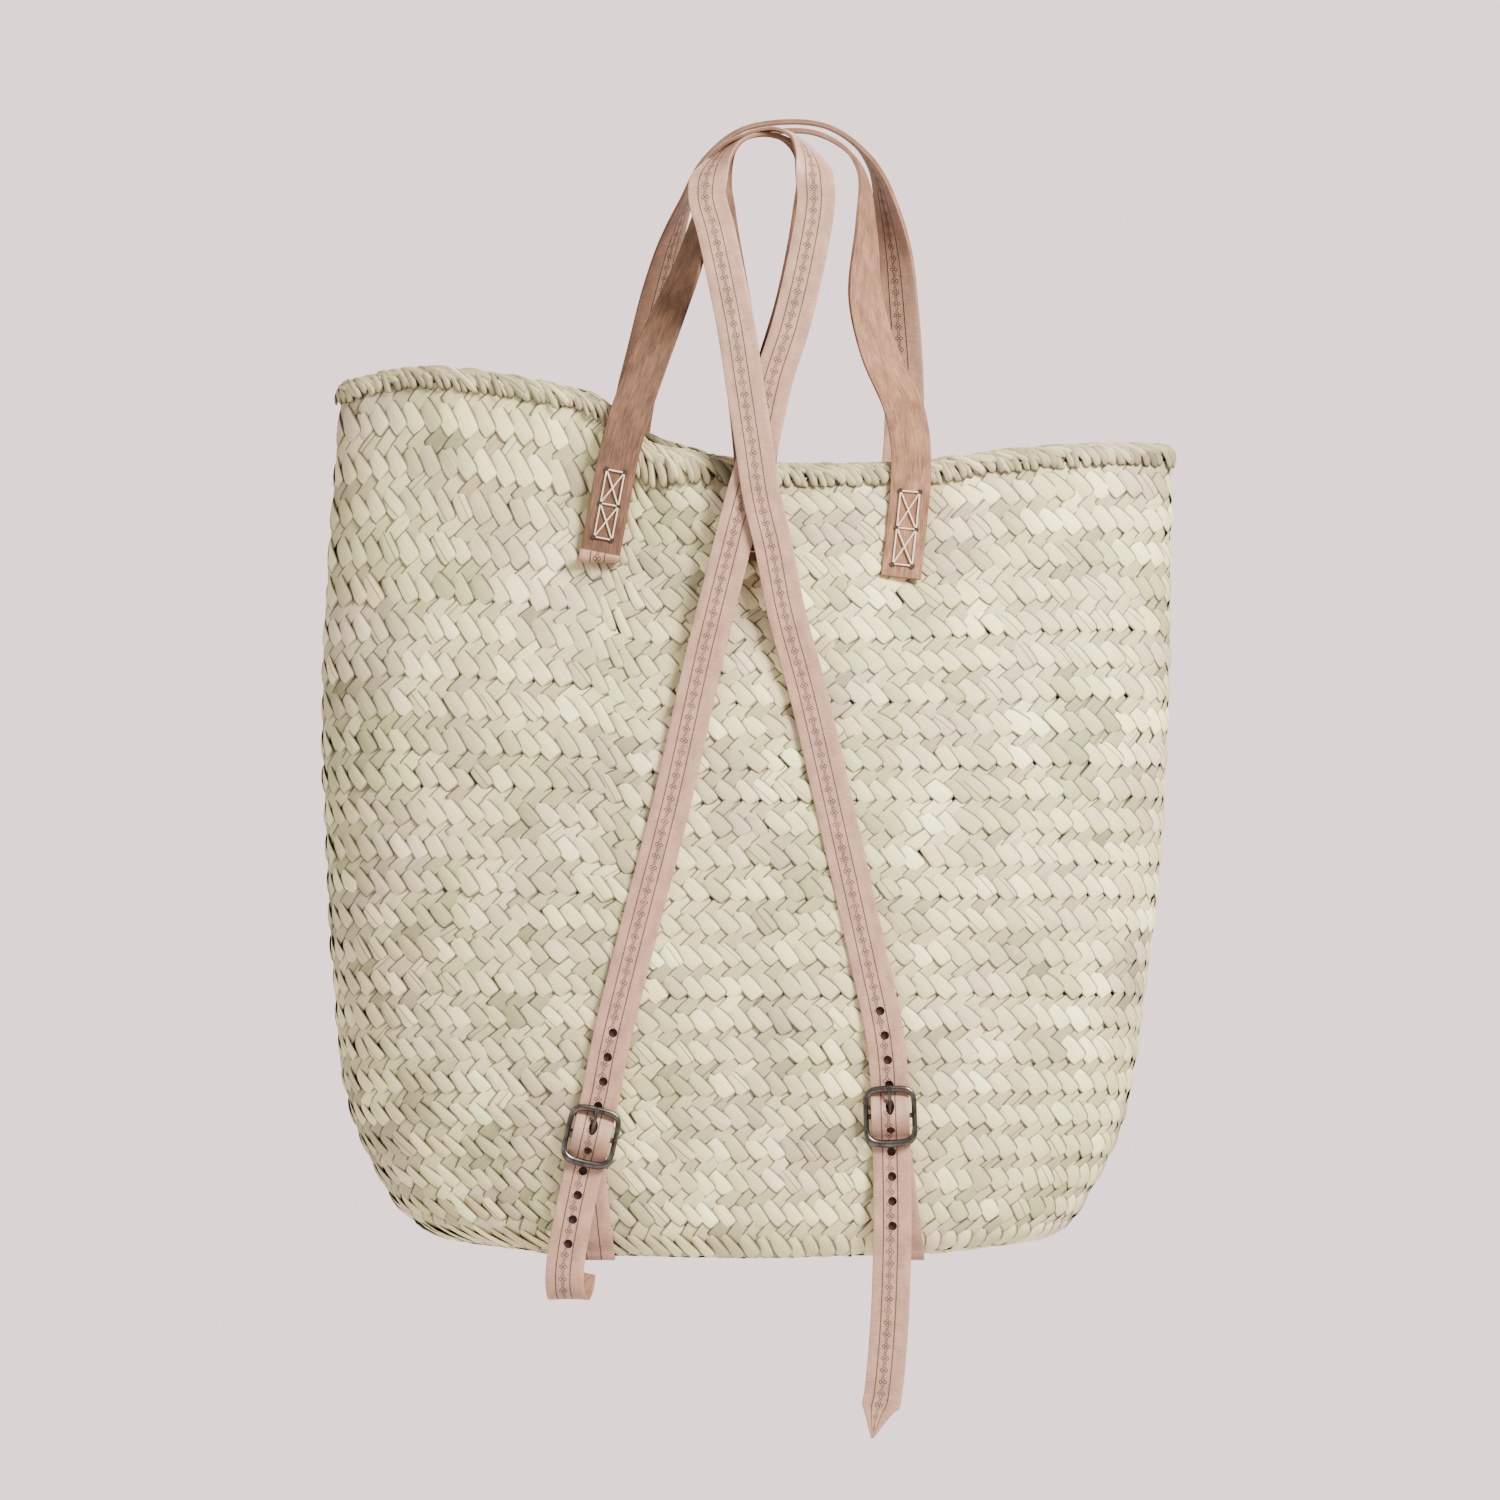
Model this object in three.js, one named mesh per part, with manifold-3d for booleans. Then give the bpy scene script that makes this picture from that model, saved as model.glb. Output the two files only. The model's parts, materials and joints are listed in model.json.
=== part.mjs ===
// Woven straw backpack, hanging from a peg by its two hand straps and two shoulder straps.
// Millimetres. +Z up, +X to the right of the strap side, -Y towards the strap side.
// The origin is the top of the peg, under the bends of the straps.
import * as THREE from "three";
import { mergeVertices } from "three/addons/utils/BufferGeometryUtils.js";
import Module from "manifold-3d";

const wasm = await Module();
wasm.setup();

// Driving sizes of the basket
const BODY_WIDTH = 422;
const BODY_DEPTH = 146;
const BODY_HEIGHT = 396;
const HANG_DROP = 160;
const WALL = 3;
const BASE_CURVE = 8;
const RIM_WIDTH = 7.5;
const RIM_HEIGHT = 7.5;

// Driving sizes of the leather
const HANDLE_WIDTH = 20;
const HANDLE_THICK = 2.2;
const HANDLE_BACK_STEP = 14;
const STRAP_WIDTH = 19;
const STRAP_THICK = 2;
const STRAP_BEND = 15;
const PEG_CLEAR = 10;
const TAB_WIDTH = 19;
const TAB_THICK = 1.8;
const TAB_LAP = 24;
const HOLE_DIAMETER = 4.4;
const HOLE_PITCH = 12.3;
const HOLES_ABOVE = 4;
const HOLES_BELOW = 5;

// Driving sizes of the buckles
const BUCKLE_WIDTH = 27;
const BUCKLE_HEIGHT = 30;
const BUCKLE_CORNER = 5;
const BAR = 3.4;
const SIDE_BAR = 3;
const CENTRE_BAR = 2.6;
const PRONG = 1.8;

// Clearances between pieces that touch: hard ones, the sloping rim, and leather on the curved wall
const GAP = 0.3;
const BRAID_GAP = 0.6;
const LEATHER_GAP = 0.6;

// Levels are counted down from the peg: 0 at the peg, 1 at the rim, 2 at the base.
function heightAt(level) {
  return level < 1 ? -level * HANG_DROP : -HANG_DROP - (level - 1) * BODY_HEIGHT;
}

// Sections of the basket, from the base (share 0) to the rim (share 1).
// half and shift are shares of BODY_WIDTH, depth of BODY_DEPTH, and square is the outline's exponent.
const SECTIONS = [
  { share: 0.0, half: 0.352, shift: -0.036, depth: 0.405, square: 2.7 },
  { share: 0.022, half: 0.383, shift: -0.038, depth: 0.444, square: 2.7 },
  { share: 0.055, half: 0.406, shift: -0.042, depth: 0.466, square: 2.6 },
  { share: 0.14, half: 0.445, shift: -0.043, depth: 0.488, square: 2.5 },
  { share: 0.22, half: 0.465, shift: -0.044, depth: 0.497, square: 2.4 },
  { share: 0.32, half: 0.477, shift: -0.042, depth: 0.5, square: 2.3 },
  { share: 0.5, half: 0.492, shift: -0.037, depth: 0.478, square: 2.2 },
  { share: 0.7, half: 0.499, shift: -0.035, depth: 0.415, square: 2.1 },
  { share: 0.86, half: 0.495, shift: -0.029, depth: 0.345, square: 2.05 },
  { share: 1.0, half: 0.49, shift: -0.022, depth: 0.285, square: 2.0 },
];

// Height of the rim round the mouth, as shares of BODY_HEIGHT, against the share of the half width.
// roll is how much taller the rim braid shows where it is rolled outwards.
const RIM = [
  { across: -1.0, near: 0.098, far: 0.098, roll: 0 },
  { across: -0.84, near: 0.115, far: 0.1, roll: 0 },
  { across: -0.67, near: 0.11, far: 0.094, roll: 0 },
  { across: -0.49, near: 0.093, far: 0.075, roll: 0 },
  { across: -0.37, near: 0.073, far: 0.055, roll: 0.1 },
  { across: -0.265, near: 0.023, far: 0.035, roll: 1.0 },
  { across: -0.155, near: 0.009, far: 0.014, roll: 0.5 },
  { across: 0.06, near: -0.007, far: -0.012, roll: 0 },
  { across: 0.42, near: -0.003, far: -0.018, roll: 0 },
  { across: 0.6, near: 0.011, far: -0.004, roll: 0 },
  { across: 0.87, near: 0.02, far: 0.006, roll: 0 },
  { across: 1.0, near: 0.018, far: 0.018, roll: 0 },
];

// Hollows (out below 0) and bulges of the near wall. across and wide are shares of BODY_WIDTH,
// share and tall of BODY_HEIGHT, out of BODY_DEPTH.
const DENTS = [
  { across: -0.215, share: 0.84, wide: 0.1, tall: 0.12, out: -0.06 },
  { across: -0.115, share: 1.0, wide: 0.055, tall: 0.06, out: 0.06 },
  { across: -0.3, share: 1.03, wide: 0.12, tall: 0.09, out: 0.04 },
  { across: 0.16, share: 0.9, wide: 0.07, tall: 0.1, out: -0.03 },
  { across: -0.02, share: 0.72, wide: 0.12, tall: 0.16, out: 0.03 },
  { across: -0.36, share: 0.12, wide: 0.06, tall: 0.07, out: -0.05 },
  { across: 0.3, share: 0.45, wide: 0.14, tall: 0.2, out: 0.02 },
];

// Value of one column of a table at a key, on a smooth curve through its rows.
function smoothColumn(table, key, at, column) {
  const last = table.length - 1;
  if (at <= table[0][key]) return table[0][column];
  if (at >= table[last][key]) return table[last][column];
  let row = 0;
  while (at > table[row + 1][key]) row += 1;
  const a = table[row];
  const b = table[row + 1];
  const span = b[key] - a[key];
  const chord = (b[column] - a[column]) / span;
  const slope = (from, to) => (from && to ? (to[column] - from[column]) / (to[key] - from[key]) : chord);
  const slopeA = slope(table[row - 1], b);
  const slopeB = slope(a, table[row + 2]);
  const t = (at - a[key]) / span;
  const keepA = (1 + 2 * t) * (1 - t) ** 2;
  const keepB = t * t * (3 - 2 * t);
  const pullA = t * (1 - t) ** 2 * span * slopeA;
  const pullB = t * t * (t - 1) * span * slopeB;
  return a[column] * keepA + b[column] * keepB + pullA + pullB;
}

function section(share) {
  const value = (column) => smoothColumn(SECTIONS, "share", share, column);
  return {
    half: value("half") * BODY_WIDTH,
    shift: value("shift") * BODY_WIDTH,
    depth: value("depth") * BODY_DEPTH,
    square: value("square"),
  };
}

// How far the hollows and bulges move the near wall out at a place.
function dentAt(x, share) {
  let out = 0;
  for (const dent of DENTS) {
    const sideways = (x / BODY_WIDTH - dent.across) / dent.wide;
    const upwards = (share - dent.share) / dent.tall;
    out += dent.out * BODY_DEPTH * Math.exp(-sideways * sideways - upwards * upwards);
  }
  return out;
}

// Depth coordinate of the outer wall at a place. side is -1 for the near wall and 1 for the far wall.
function outlineY(cosine, share, side) {
  const s = section(share);
  const flat = Math.max(0, 1 - Math.abs(cosine) ** s.square) ** (1 / s.square);
  const out = side < 0 ? dentAt(s.shift + s.half * cosine, share) * flat : 0;
  return side * (s.depth * flat + out);
}

// Height of the wall: its rows rise with the rim, and the base curves up at its two ends.
function outlineZ(cosine, share, side) {
  const rise = smoothColumn(RIM, "across", cosine, side < 0 ? "near" : "far");
  const blend = share ** 4;
  const bottomCurve = BASE_CURVE * cosine * cosine * (1 - share) ** 12;
  return -HANG_DROP - BODY_HEIGHT * (1 - share) + BODY_HEIGHT * rise * blend + bottomCurve;
}

function wallPoint(angle, share) {
  const cosine = Math.cos(angle);
  const side = Math.sin(angle) < 0 ? -1 : 1;
  const s = section(share);
  return new THREE.Vector3(
    s.shift + s.half * cosine,
    outlineY(cosine, share, side),
    outlineZ(cosine, share, side),
  );
}

// Horizontal direction out of the wall.
function wallOutward(angle, share) {
  const step = 0.02;
  const along = wallPoint(angle + step, share).sub(wallPoint(angle - step, share));
  return new THREE.Vector3(along.y, -along.x, 0).normalize();
}

// Share of the height where the shell ends, under the rim braid.
function shellTop(angle) {
  const cosine = Math.cos(angle);
  const near = Math.sin(angle) < 0;
  const rise = smoothColumn(RIM, "across", cosine, near ? "near" : "far");
  return 1 - (braidHeight(angle) + BRAID_GAP) / (BODY_HEIGHT * (1 + 4 * rise));
}

function braidHeight(angle) {
  const roll = Math.sin(angle) < 0 ? smoothColumn(RIM, "across", Math.cos(angle), "roll") : 0;
  return RIM_HEIGHT * (1 + roll);
}

// Depth coordinate of the wall at x and z, found by closing in on the row that passes there.
function wallY(x, z, side) {
  let share = 1;
  let cosine = 0;
  for (let round = 0; round < 8; round += 1) {
    const s = section(share);
    cosine = THREE.MathUtils.clamp((x - s.shift) / s.half, -0.98, 0.98);
    const error = z - outlineZ(cosine, share, side);
    share = THREE.MathUtils.clamp(share + error / (BODY_HEIGHT * 1.2), 0, 1);
  }
  return outlineY(cosine, share, side);
}

// The wall's most outward depth across a strap that lies on it.
function proudY(x, z, width, side) {
  let proud = -Infinity;
  for (let step = -2; step <= 2; step += 1) {
    proud = Math.max(proud, side * wallY(x + (step * width) / 4, z, side));
  }
  return side * proud;
}

// Closed mesh from rings of points. Each ring has the same number of points.
function skinRings(rings, closedLoop) {
  const size = rings[0].length;
  const positions = rings.flat().flatMap((point) => [point.x, point.y, point.z]);
  const index = [];
  const count = closedLoop ? rings.length : rings.length - 1;
  for (let ring = 0; ring < count; ring += 1) {
    const next = (ring + 1) % rings.length;
    for (let k = 0; k < size; k += 1) {
      const after = (k + 1) % size;
      const a = ring * size + k;
      const b = ring * size + after;
      const c = next * size + after;
      const d = next * size + k;
      index.push(a, b, c, a, c, d);
    }
  }
  if (!closedLoop) {
    const lastRing = (rings.length - 1) * size;
    for (let k = 1; k < size - 1; k += 1) {
      index.push(0, k + 1, k);
      index.push(lastRing, lastRing + k, lastRing + k + 1);
    }
  }
  const geometry = new THREE.BufferGeometry();
  geometry.setAttribute("position", new THREE.Float32BufferAttribute(positions, 3));
  geometry.setIndex(index);
  return geometry;
}

function signedVolume(geometry) {
  const points = geometry.attributes.position;
  const index = geometry.index;
  const corner = [new THREE.Vector3(), new THREE.Vector3(), new THREE.Vector3()];
  let volume = 0;
  for (let face = 0; face < index.count; face += 3) {
    corner.forEach((point, k) => point.fromBufferAttribute(points, index.getX(face + k)));
    volume += corner[0].dot(corner[1].clone().cross(corner[2])) / 6;
  }
  return volume;
}

// Turns a mesh right side out.
function faceOutwards(geometry) {
  if (signedVolume(geometry) > 0) return geometry;
  const flipped = Array.from(geometry.index.array);
  for (let face = 0; face < flipped.length; face += 3) {
    [flipped[face + 1], flipped[face + 2]] = [flipped[face + 2], flipped[face + 1]];
  }
  geometry.setIndex(flipped);
  return geometry;
}

function toSolid(geometry) {
  const bare = geometry.clone();
  bare.deleteAttribute("normal");
  bare.deleteAttribute("uv");
  const merged = faceOutwards(mergeVertices(bare, 1e-4));
  return new wasm.Manifold(new wasm.Mesh({
    numProp: 3,
    vertProperties: new Float32Array(merged.attributes.position.array),
    triVerts: new Uint32Array(merged.index.array),
  }));
}

function fromSolid(solid) {
  const mesh = solid.getMesh();
  const geometry = new THREE.BufferGeometry();
  geometry.setAttribute("position", new THREE.Float32BufferAttribute(mesh.vertProperties, 3));
  geometry.setIndex(Array.from(mesh.triVerts));
  return geometry;
}

// Basket shell: outer wall, edge, inner wall and a double floor
const ROUND_STEPS = 96;
const OUTER_SHARES = [0, 0.022, 0.055, 0.1, 0.15, 0.22, 0.32, 0.43, 0.54, 0.65, 0.75, 0.83, 0.89, 0.94, 0.975];
const INNER_SHARES = [0.03, 0.07, 0.15, 0.26, 0.42, 0.6, 0.76, 0.87, 0.94];

function ringAngles() {
  return Array.from({ length: ROUND_STEPS }, (_, step) => ((step + 0.5) / ROUND_STEPS) * 2 * Math.PI);
}

function basketShell() {
  const angles = ringAngles();
  const outer = (share) => angles.map((angle) => wallPoint(angle, share * shellTop(angle)));
  const inner = (share) => angles.map((angle) => {
    const at = share * shellTop(angle);
    return wallPoint(angle, at).addScaledVector(wallOutward(angle, at), -WALL);
  });
  const floorShare = WALL / BODY_HEIGHT;
  const floor = angles.map((angle) => {
    const point = wallPoint(angle, floorShare).addScaledVector(wallOutward(angle, floorShare), -WALL);
    point.z = wallPoint(angle, 0).z + WALL;
    return point;
  });
  const rings = OUTER_SHARES.map(outer);
  rings.push(outer(1), inner(1));
  rings.push(...INNER_SHARES.slice().reverse().map(inner));
  rings.push(floor);
  const middle = (ring, lift) => {
    const centre = new THREE.Vector3(section(0).shift, 0, heightAt(2) + lift);
    return ring.map(() => centre.clone());
  };
  rings.unshift(middle(rings[0], 0));
  rings.push(middle(floor, WALL));
  const geometry = skinRings(rings, true);
  return dropFlatFaces(mergeVertices(geometry, 1e-4));
}

// Removes the faces that merging has closed up.
function dropFlatFaces(geometry) {
  const kept = [];
  const index = geometry.index;
  for (let face = 0; face < index.count; face += 3) {
    const corners = [index.getX(face), index.getX(face + 1), index.getX(face + 2)];
    if (new Set(corners).size === 3) kept.push(...corners);
  }
  geometry.setIndex(kept);
  return faceOutwards(geometry);
}

// Rim braid: a ring of rounded section that stands on the shell's edge
const BRAID_SECTION = [
  { out: -0.3, up: 0 },
  { out: 0.3, up: 0 },
  { out: 0.5, up: 0.35 },
  { out: 0.42, up: 0.8 },
  { out: 0, up: 1 },
  { out: -0.42, up: 0.8 },
  { out: -0.5, up: 0.35 },
];

function rimBraid() {
  const rings = ringAngles().map((angle) => {
    const top = wallPoint(angle, 1);
    const foot = wallPoint(angle, shellTop(angle));
    foot.z += BRAID_GAP;
    const outward = wallOutward(angle, 1);
    return BRAID_SECTION.map((corner) => {
      const reach = corner.out * RIM_WIDTH - WALL / 2;
      return foot.clone().lerp(top, corner.up).addScaledVector(outward, reach);
    });
  });
  return faceOutwards(skinRings(rings, true));
}

// Flat leather strip swept along a route. Each stop has a place, a width direction and the shares of the
// half width where its two edges lie.
function sampleRoute(stops, stepsPerSpan) {
  const curve = new THREE.CatmullRomCurve3(stops.map((stop) => stop.at), false, "centripetal");
  const spans = stops.length - 1;
  const samples = [];
  for (let step = 0; step <= spans * stepsPerSpan; step += 1) {
    const along = step / (spans * stepsPerSpan);
    const span = Math.min(spans - 1, Math.floor(step / stepsPerSpan));
    const part = step / stepsPerSpan - span;
    const from = stops[span];
    const to = stops[span + 1];
    const tangent = curve.getTangent(along);
    const across = from.across.clone().lerp(to.across, part);
    across.addScaledVector(tangent, -across.dot(tangent)).normalize();
    samples.push({
      at: curve.getPoint(along),
      across,
      facing: tangent.clone().cross(across).normalize(),
      low: THREE.MathUtils.lerp(from.low ?? -1, to.low ?? -1, part),
      high: THREE.MathUtils.lerp(from.high ?? 1, to.high ?? 1, part),
    });
  }
  return samples;
}

function strip(samples, width, thick) {
  const rings = samples.map((sample) => {
    const corner = (edge, face) => sample.at.clone()
      .addScaledVector(sample.across, (edge * width) / 2)
      .addScaledVector(sample.facing, (face * thick) / 2);
    return [
      corner(sample.low, -1),
      corner(sample.high, -1),
      corner(sample.high, 1),
      corner(sample.low, 1),
    ];
  });
  return faceOutwards(skinRings(rings, false));
}

// Round or oval cutter through a strip at a sample.
function cutter(sample, wide, long, deep) {
  const tool = new THREE.CylinderGeometry(0.5, 0.5, deep, 8);
  tool.scale(wide, 1, long);
  const along = sample.across.clone().cross(sample.facing);
  tool.applyMatrix4(new THREE.Matrix4().makeBasis(sample.across, sample.facing, along));
  tool.translate(sample.at.x, sample.at.y, sample.at.z);
  return toSolid(tool);
}

// Hand straps. across is a share of BODY_WIDTH and level counts down from the peg. out runs from 0 over the
// peg to 1 on the wall, and turn is the angle of the width direction: 0 along X, 90 towards the strap side.
const NEAR_HANDLE = [
  { across: -0.205, level: 1.111, out: 1, turn: 0 },
  { across: -0.194, level: 1.05, out: 1, turn: 0 },
  { across: -0.184, level: 0.99, out: 1, turn: 0 },
  { across: -0.173, level: 0.88, out: 1, turn: 4 },
  { across: -0.152, level: 0.722, out: 0.8, turn: 14 },
  { across: -0.128, level: 0.5625, out: 0.6, turn: 30 },
  { across: -0.102, level: 0.39, out: 0.4, turn: 48 },
  { across: -0.084, level: 0.22, out: 0.2, turn: 68 },
  { across: -0.064, level: 0.09, out: 0.06, turn: 84 },
  { across: -0.036, level: -0.003, out: 0, turn: 90 },
  { across: 0.01, level: -0.026, out: 0, turn: 90 },
  { across: 0.05, level: -0.018, out: 0, turn: 90 },
  { across: 0.086, level: 0.036, out: 0, turn: 92 },
  { across: 0.104, level: 0.115, out: 0.08, turn: 98 },
  { across: 0.108, level: 0.28, out: 0.28, turn: 118 },
  { across: 0.107, level: 0.5, out: 0.52, turn: 146 },
  { across: 0.124, level: 0.675, out: 0.75, turn: 164 },
  { across: 0.15, level: 0.83, out: 0.95, turn: 174 },
  { across: 0.159, level: 0.94, out: 1, turn: 180 },
  { across: 0.16, level: 1.025, out: 1, turn: 180 },
  { across: 0.155, level: 1.085, out: 1, turn: 180 },
  { across: 0.148, level: 1.15, out: 1, turn: 180 },
];

const FAR_HANDLE = [
  { across: -0.192, level: 1.12, out: 1, turn: 180 },
  { across: -0.184, level: 1.05, out: 1, turn: 180 },
  { across: -0.176, level: 0.97, out: 1, turn: 180 },
  { across: -0.166, level: 0.8, out: 0.92, turn: 176 },
  { across: -0.152, level: 0.64, out: 0.72, turn: 162 },
  { across: -0.139, level: 0.48, out: 0.52, turn: 146 },
  { across: -0.124, level: 0.32, out: 0.32, turn: 124 },
  { across: -0.105, level: 0.18, out: 0.14, turn: 102 },
  { across: -0.085, level: 0.066, out: 0.03, turn: 92 },
  { across: -0.042, level: -0.03, out: 0, turn: 90 },
  { across: 0.015, level: -0.058, out: 0, turn: 90 },
  { across: 0.063, level: -0.042, out: 0, turn: 90 },
  { across: 0.1, level: 0.022, out: 0, turn: 88 },
  { across: 0.121, level: 0.1, out: 0.1, turn: 76 },
  { across: 0.134, level: 0.22, out: 0.26, turn: 54 },
  { across: 0.143, level: 0.36, out: 0.44, turn: 32 },
  { across: 0.148, level: 0.52, out: 0.62, turn: 18 },
  { across: 0.153, level: 0.72, out: 0.84, turn: 6 },
  { across: 0.154, level: 0.9, out: 1, turn: 0 },
  { across: 0.15, level: 1.02, out: 1, turn: 0 },
  { across: 0.146, level: 1.13, out: 1, turn: 0 },
];

function handleStops(rows, side) {
  const apexY = (side * HANDLE_BACK_STEP) / 2;
  const clear = LEATHER_GAP + HANDLE_THICK / 2 + (RIM_WIDTH - WALL) / 2;
  return rows.map((row) => {
    const x = row.across * BODY_WIDTH;
    const z = heightAt(row.level);
    const wall = proudY(x, Math.min(z, heightAt(0.9)), HANDLE_WIDTH, side) + side * clear;
    const seated = row.level > 1.08 ? side * ((RIM_WIDTH - WALL) / 2) : 0;
    const angle = THREE.MathUtils.degToRad(row.turn);
    return {
      at: new THREE.Vector3(x, THREE.MathUtils.lerp(apexY, wall - seated, row.out), z),
      across: new THREE.Vector3(Math.cos(angle), -Math.sin(angle), 0),
    };
  });
}

function handle(rows, side) {
  return strip(sampleRoute(handleStops(rows, side), 2), HANDLE_WIDTH, HANDLE_THICK);
}

// Buckle seats: a flat frame of reference that just clears the wall behind each buckle.
// across is a share of BODY_WIDTH, level counts down from the peg, and lean is the strap's slant in degrees.
const BUCKLES = {
  left: { across: -0.216, level: 1.8485, lean: -13 },
  right: { across: 0.135, level: 1.8232, lean: 2 },
};

function buckleSeat(place) {
  const x = place.across * BODY_WIDTH;
  const z = heightAt(place.level);
  const reach = BUCKLE_HEIGHT * 0.6;
  const upper = proudY(x, z + reach, BUCKLE_WIDTH, -1);
  const lower = proudY(x, z - reach, BUCKLE_WIDTH, -1);
  const pitch = new THREE.Vector3(0, upper - lower, 2 * reach).normalize();
  const lean = THREE.MathUtils.degToRad(place.lean);
  const along = pitch.clone().multiplyScalar(Math.cos(lean)).add(new THREE.Vector3(-Math.sin(lean), 0, 0));
  along.normalize();
  const sideways = new THREE.Vector3(1, 0, 0);
  sideways.addScaledVector(along, -along.x).normalize();
  const outward = sideways.clone().cross(along).negate();
  if (outward.y > 0) outward.negate();
  let proud = -Infinity;
  for (let up = -1; up <= 1; up += 0.25) {
    const probe = z + up * reach;
    const wall = new THREE.Vector3(x, proudY(x, probe, BUCKLE_WIDTH * 1.2, -1), probe);
    proud = Math.max(proud, wall.sub(new THREE.Vector3(x, 0, z)).dot(outward) / -outward.y);
  }
  return { origin: new THREE.Vector3(x, -proud, z), sideways, along, outward };
}

function onSeat(seat, sideways, up, out) {
  return seat.origin.clone()
    .addScaledVector(seat.sideways, sideways)
    .addScaledVector(seat.along, up)
    .addScaledVector(seat.outward, out);
}

// Heights of the layers above a buckle's seat
const TAB_LAYER = GAP + TAB_THICK / 2;
const TAB_LOOP = CENTRE_BAR / 2 + GAP + TAB_THICK / 2;
const CENTRE_LAYER = TAB_LAYER + TAB_LOOP + TAB_THICK / 2 + GAP;
const STRAP_OVER = CENTRE_LAYER + TAB_LOOP + TAB_THICK / 2 + GAP + STRAP_THICK / 2;
const STRAP_UNDER = TAB_LAYER + TAB_THICK / 2 + GAP + STRAP_THICK / 2;
const FRAME_LAYER = Math.max(STRAP_UNDER + STRAP_THICK / 2 + GAP + BAR / 2, CENTRE_LAYER + CENTRE_BAR / 2);
const BAR_PLACE = BUCKLE_HEIGHT / 2 - BAR / 2;

// Shoulder straps. Their rising strands stand behind the falling ones, a bend apart.
// across is a share of BODY_WIDTH and level counts down from the peg. layer counts the straps underneath.
const STRAP_ROUTES = {
  left: {
    seatLayer: 1,
    rise: [
      { across: -0.024, level: 1.13 },
      { across: -0.024, level: 1.04 },
      { across: -0.012, level: 0.8 },
      { across: 0.004, level: 0.45 },
      { across: 0.02, level: 0.15 },
    ],
    topAcross: 0.026,
    fall: [
      { across: 0.036, level: 0.1, layer: 0 },
      { across: 0.047, level: 0.206, layer: 0 },
      { across: 0.038, level: 0.37, layer: 0 },
      { across: 0.018, level: 0.594, layer: 0 },
      { across: -0.001, level: 0.75, layer: 0 },
      { across: -0.021, level: 0.988, layer: 0 },
      { across: -0.036, level: 1.05, layer: 0 },
      { across: -0.053, level: 1.12, layer: 0 },
      { across: -0.082, level: 1.244, layer: 0 },
      { across: -0.121, level: 1.429, layer: 0 },
      { across: -0.167, level: 1.619, layer: 0 },
      { across: -0.194, level: 1.737, layer: 0 },
    ],
    tail: [
      { across: -0.239, level: 1.961, back: 0 },
      { across: -0.246, level: 2.006, back: 0.03 },
      { across: -0.2475, level: 2.034, back: 0.12 },
      { across: -0.245, level: 2.05, back: 0.42 },
      { across: -0.24, level: 2.05, back: 0.85 },
      { across: -0.235, level: 2.036, back: 1.15 },
      { across: -0.231, level: 2.02, back: 1.3, low: 0.25, high: 0.9 },
    ],
  },
  right: {
    seatLayer: 0,
    rise: [
      { across: -0.024, level: 1.13 },
      { across: -0.024, level: 1.04 },
      { across: -0.036, level: 0.8 },
      { across: -0.046, level: 0.45 },
      { across: -0.053, level: 0.15 },
    ],
    topAcross: -0.057,
    fall: [
      { across: -0.07, level: 0.08, layer: 0 },
      { across: -0.079, level: 0.16, layer: 0 },
      { across: -0.07, level: 0.29, layer: 0 },
      { across: -0.057, level: 0.447, layer: 0.5 },
      { across: -0.046, level: 0.594, layer: 1 },
      { across: -0.037, level: 0.75, layer: 1.2 },
      { across: -0.026, level: 0.941, layer: 1.2 },
      { across: -0.015, level: 1.053, layer: 1.2 },
      { across: -0.002, level: 1.111, layer: 1.2 },
      { across: 0.012, level: 1.189, layer: 1 },
      { across: 0.038, level: 1.292, layer: 0.4 },
      { across: 0.068, level: 1.429, layer: 0 },
      { across: 0.108, level: 1.619, layer: 0 },
      { across: 0.128, level: 1.72, layer: 0 },
    ],
    tail: [
      { across: 0.1375, level: 1.981, back: 0 },
      { across: 0.133, level: 2.102, back: 0.1 },
      { across: 0.1255, level: 2.18, back: 0.2 },
      { across: 0.1235, level: 2.187, back: 0.21 },
      { across: 0.119, level: 2.228, back: 0.25, low: -0.3, high: -0.15 },
    ],
  },
};

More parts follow.
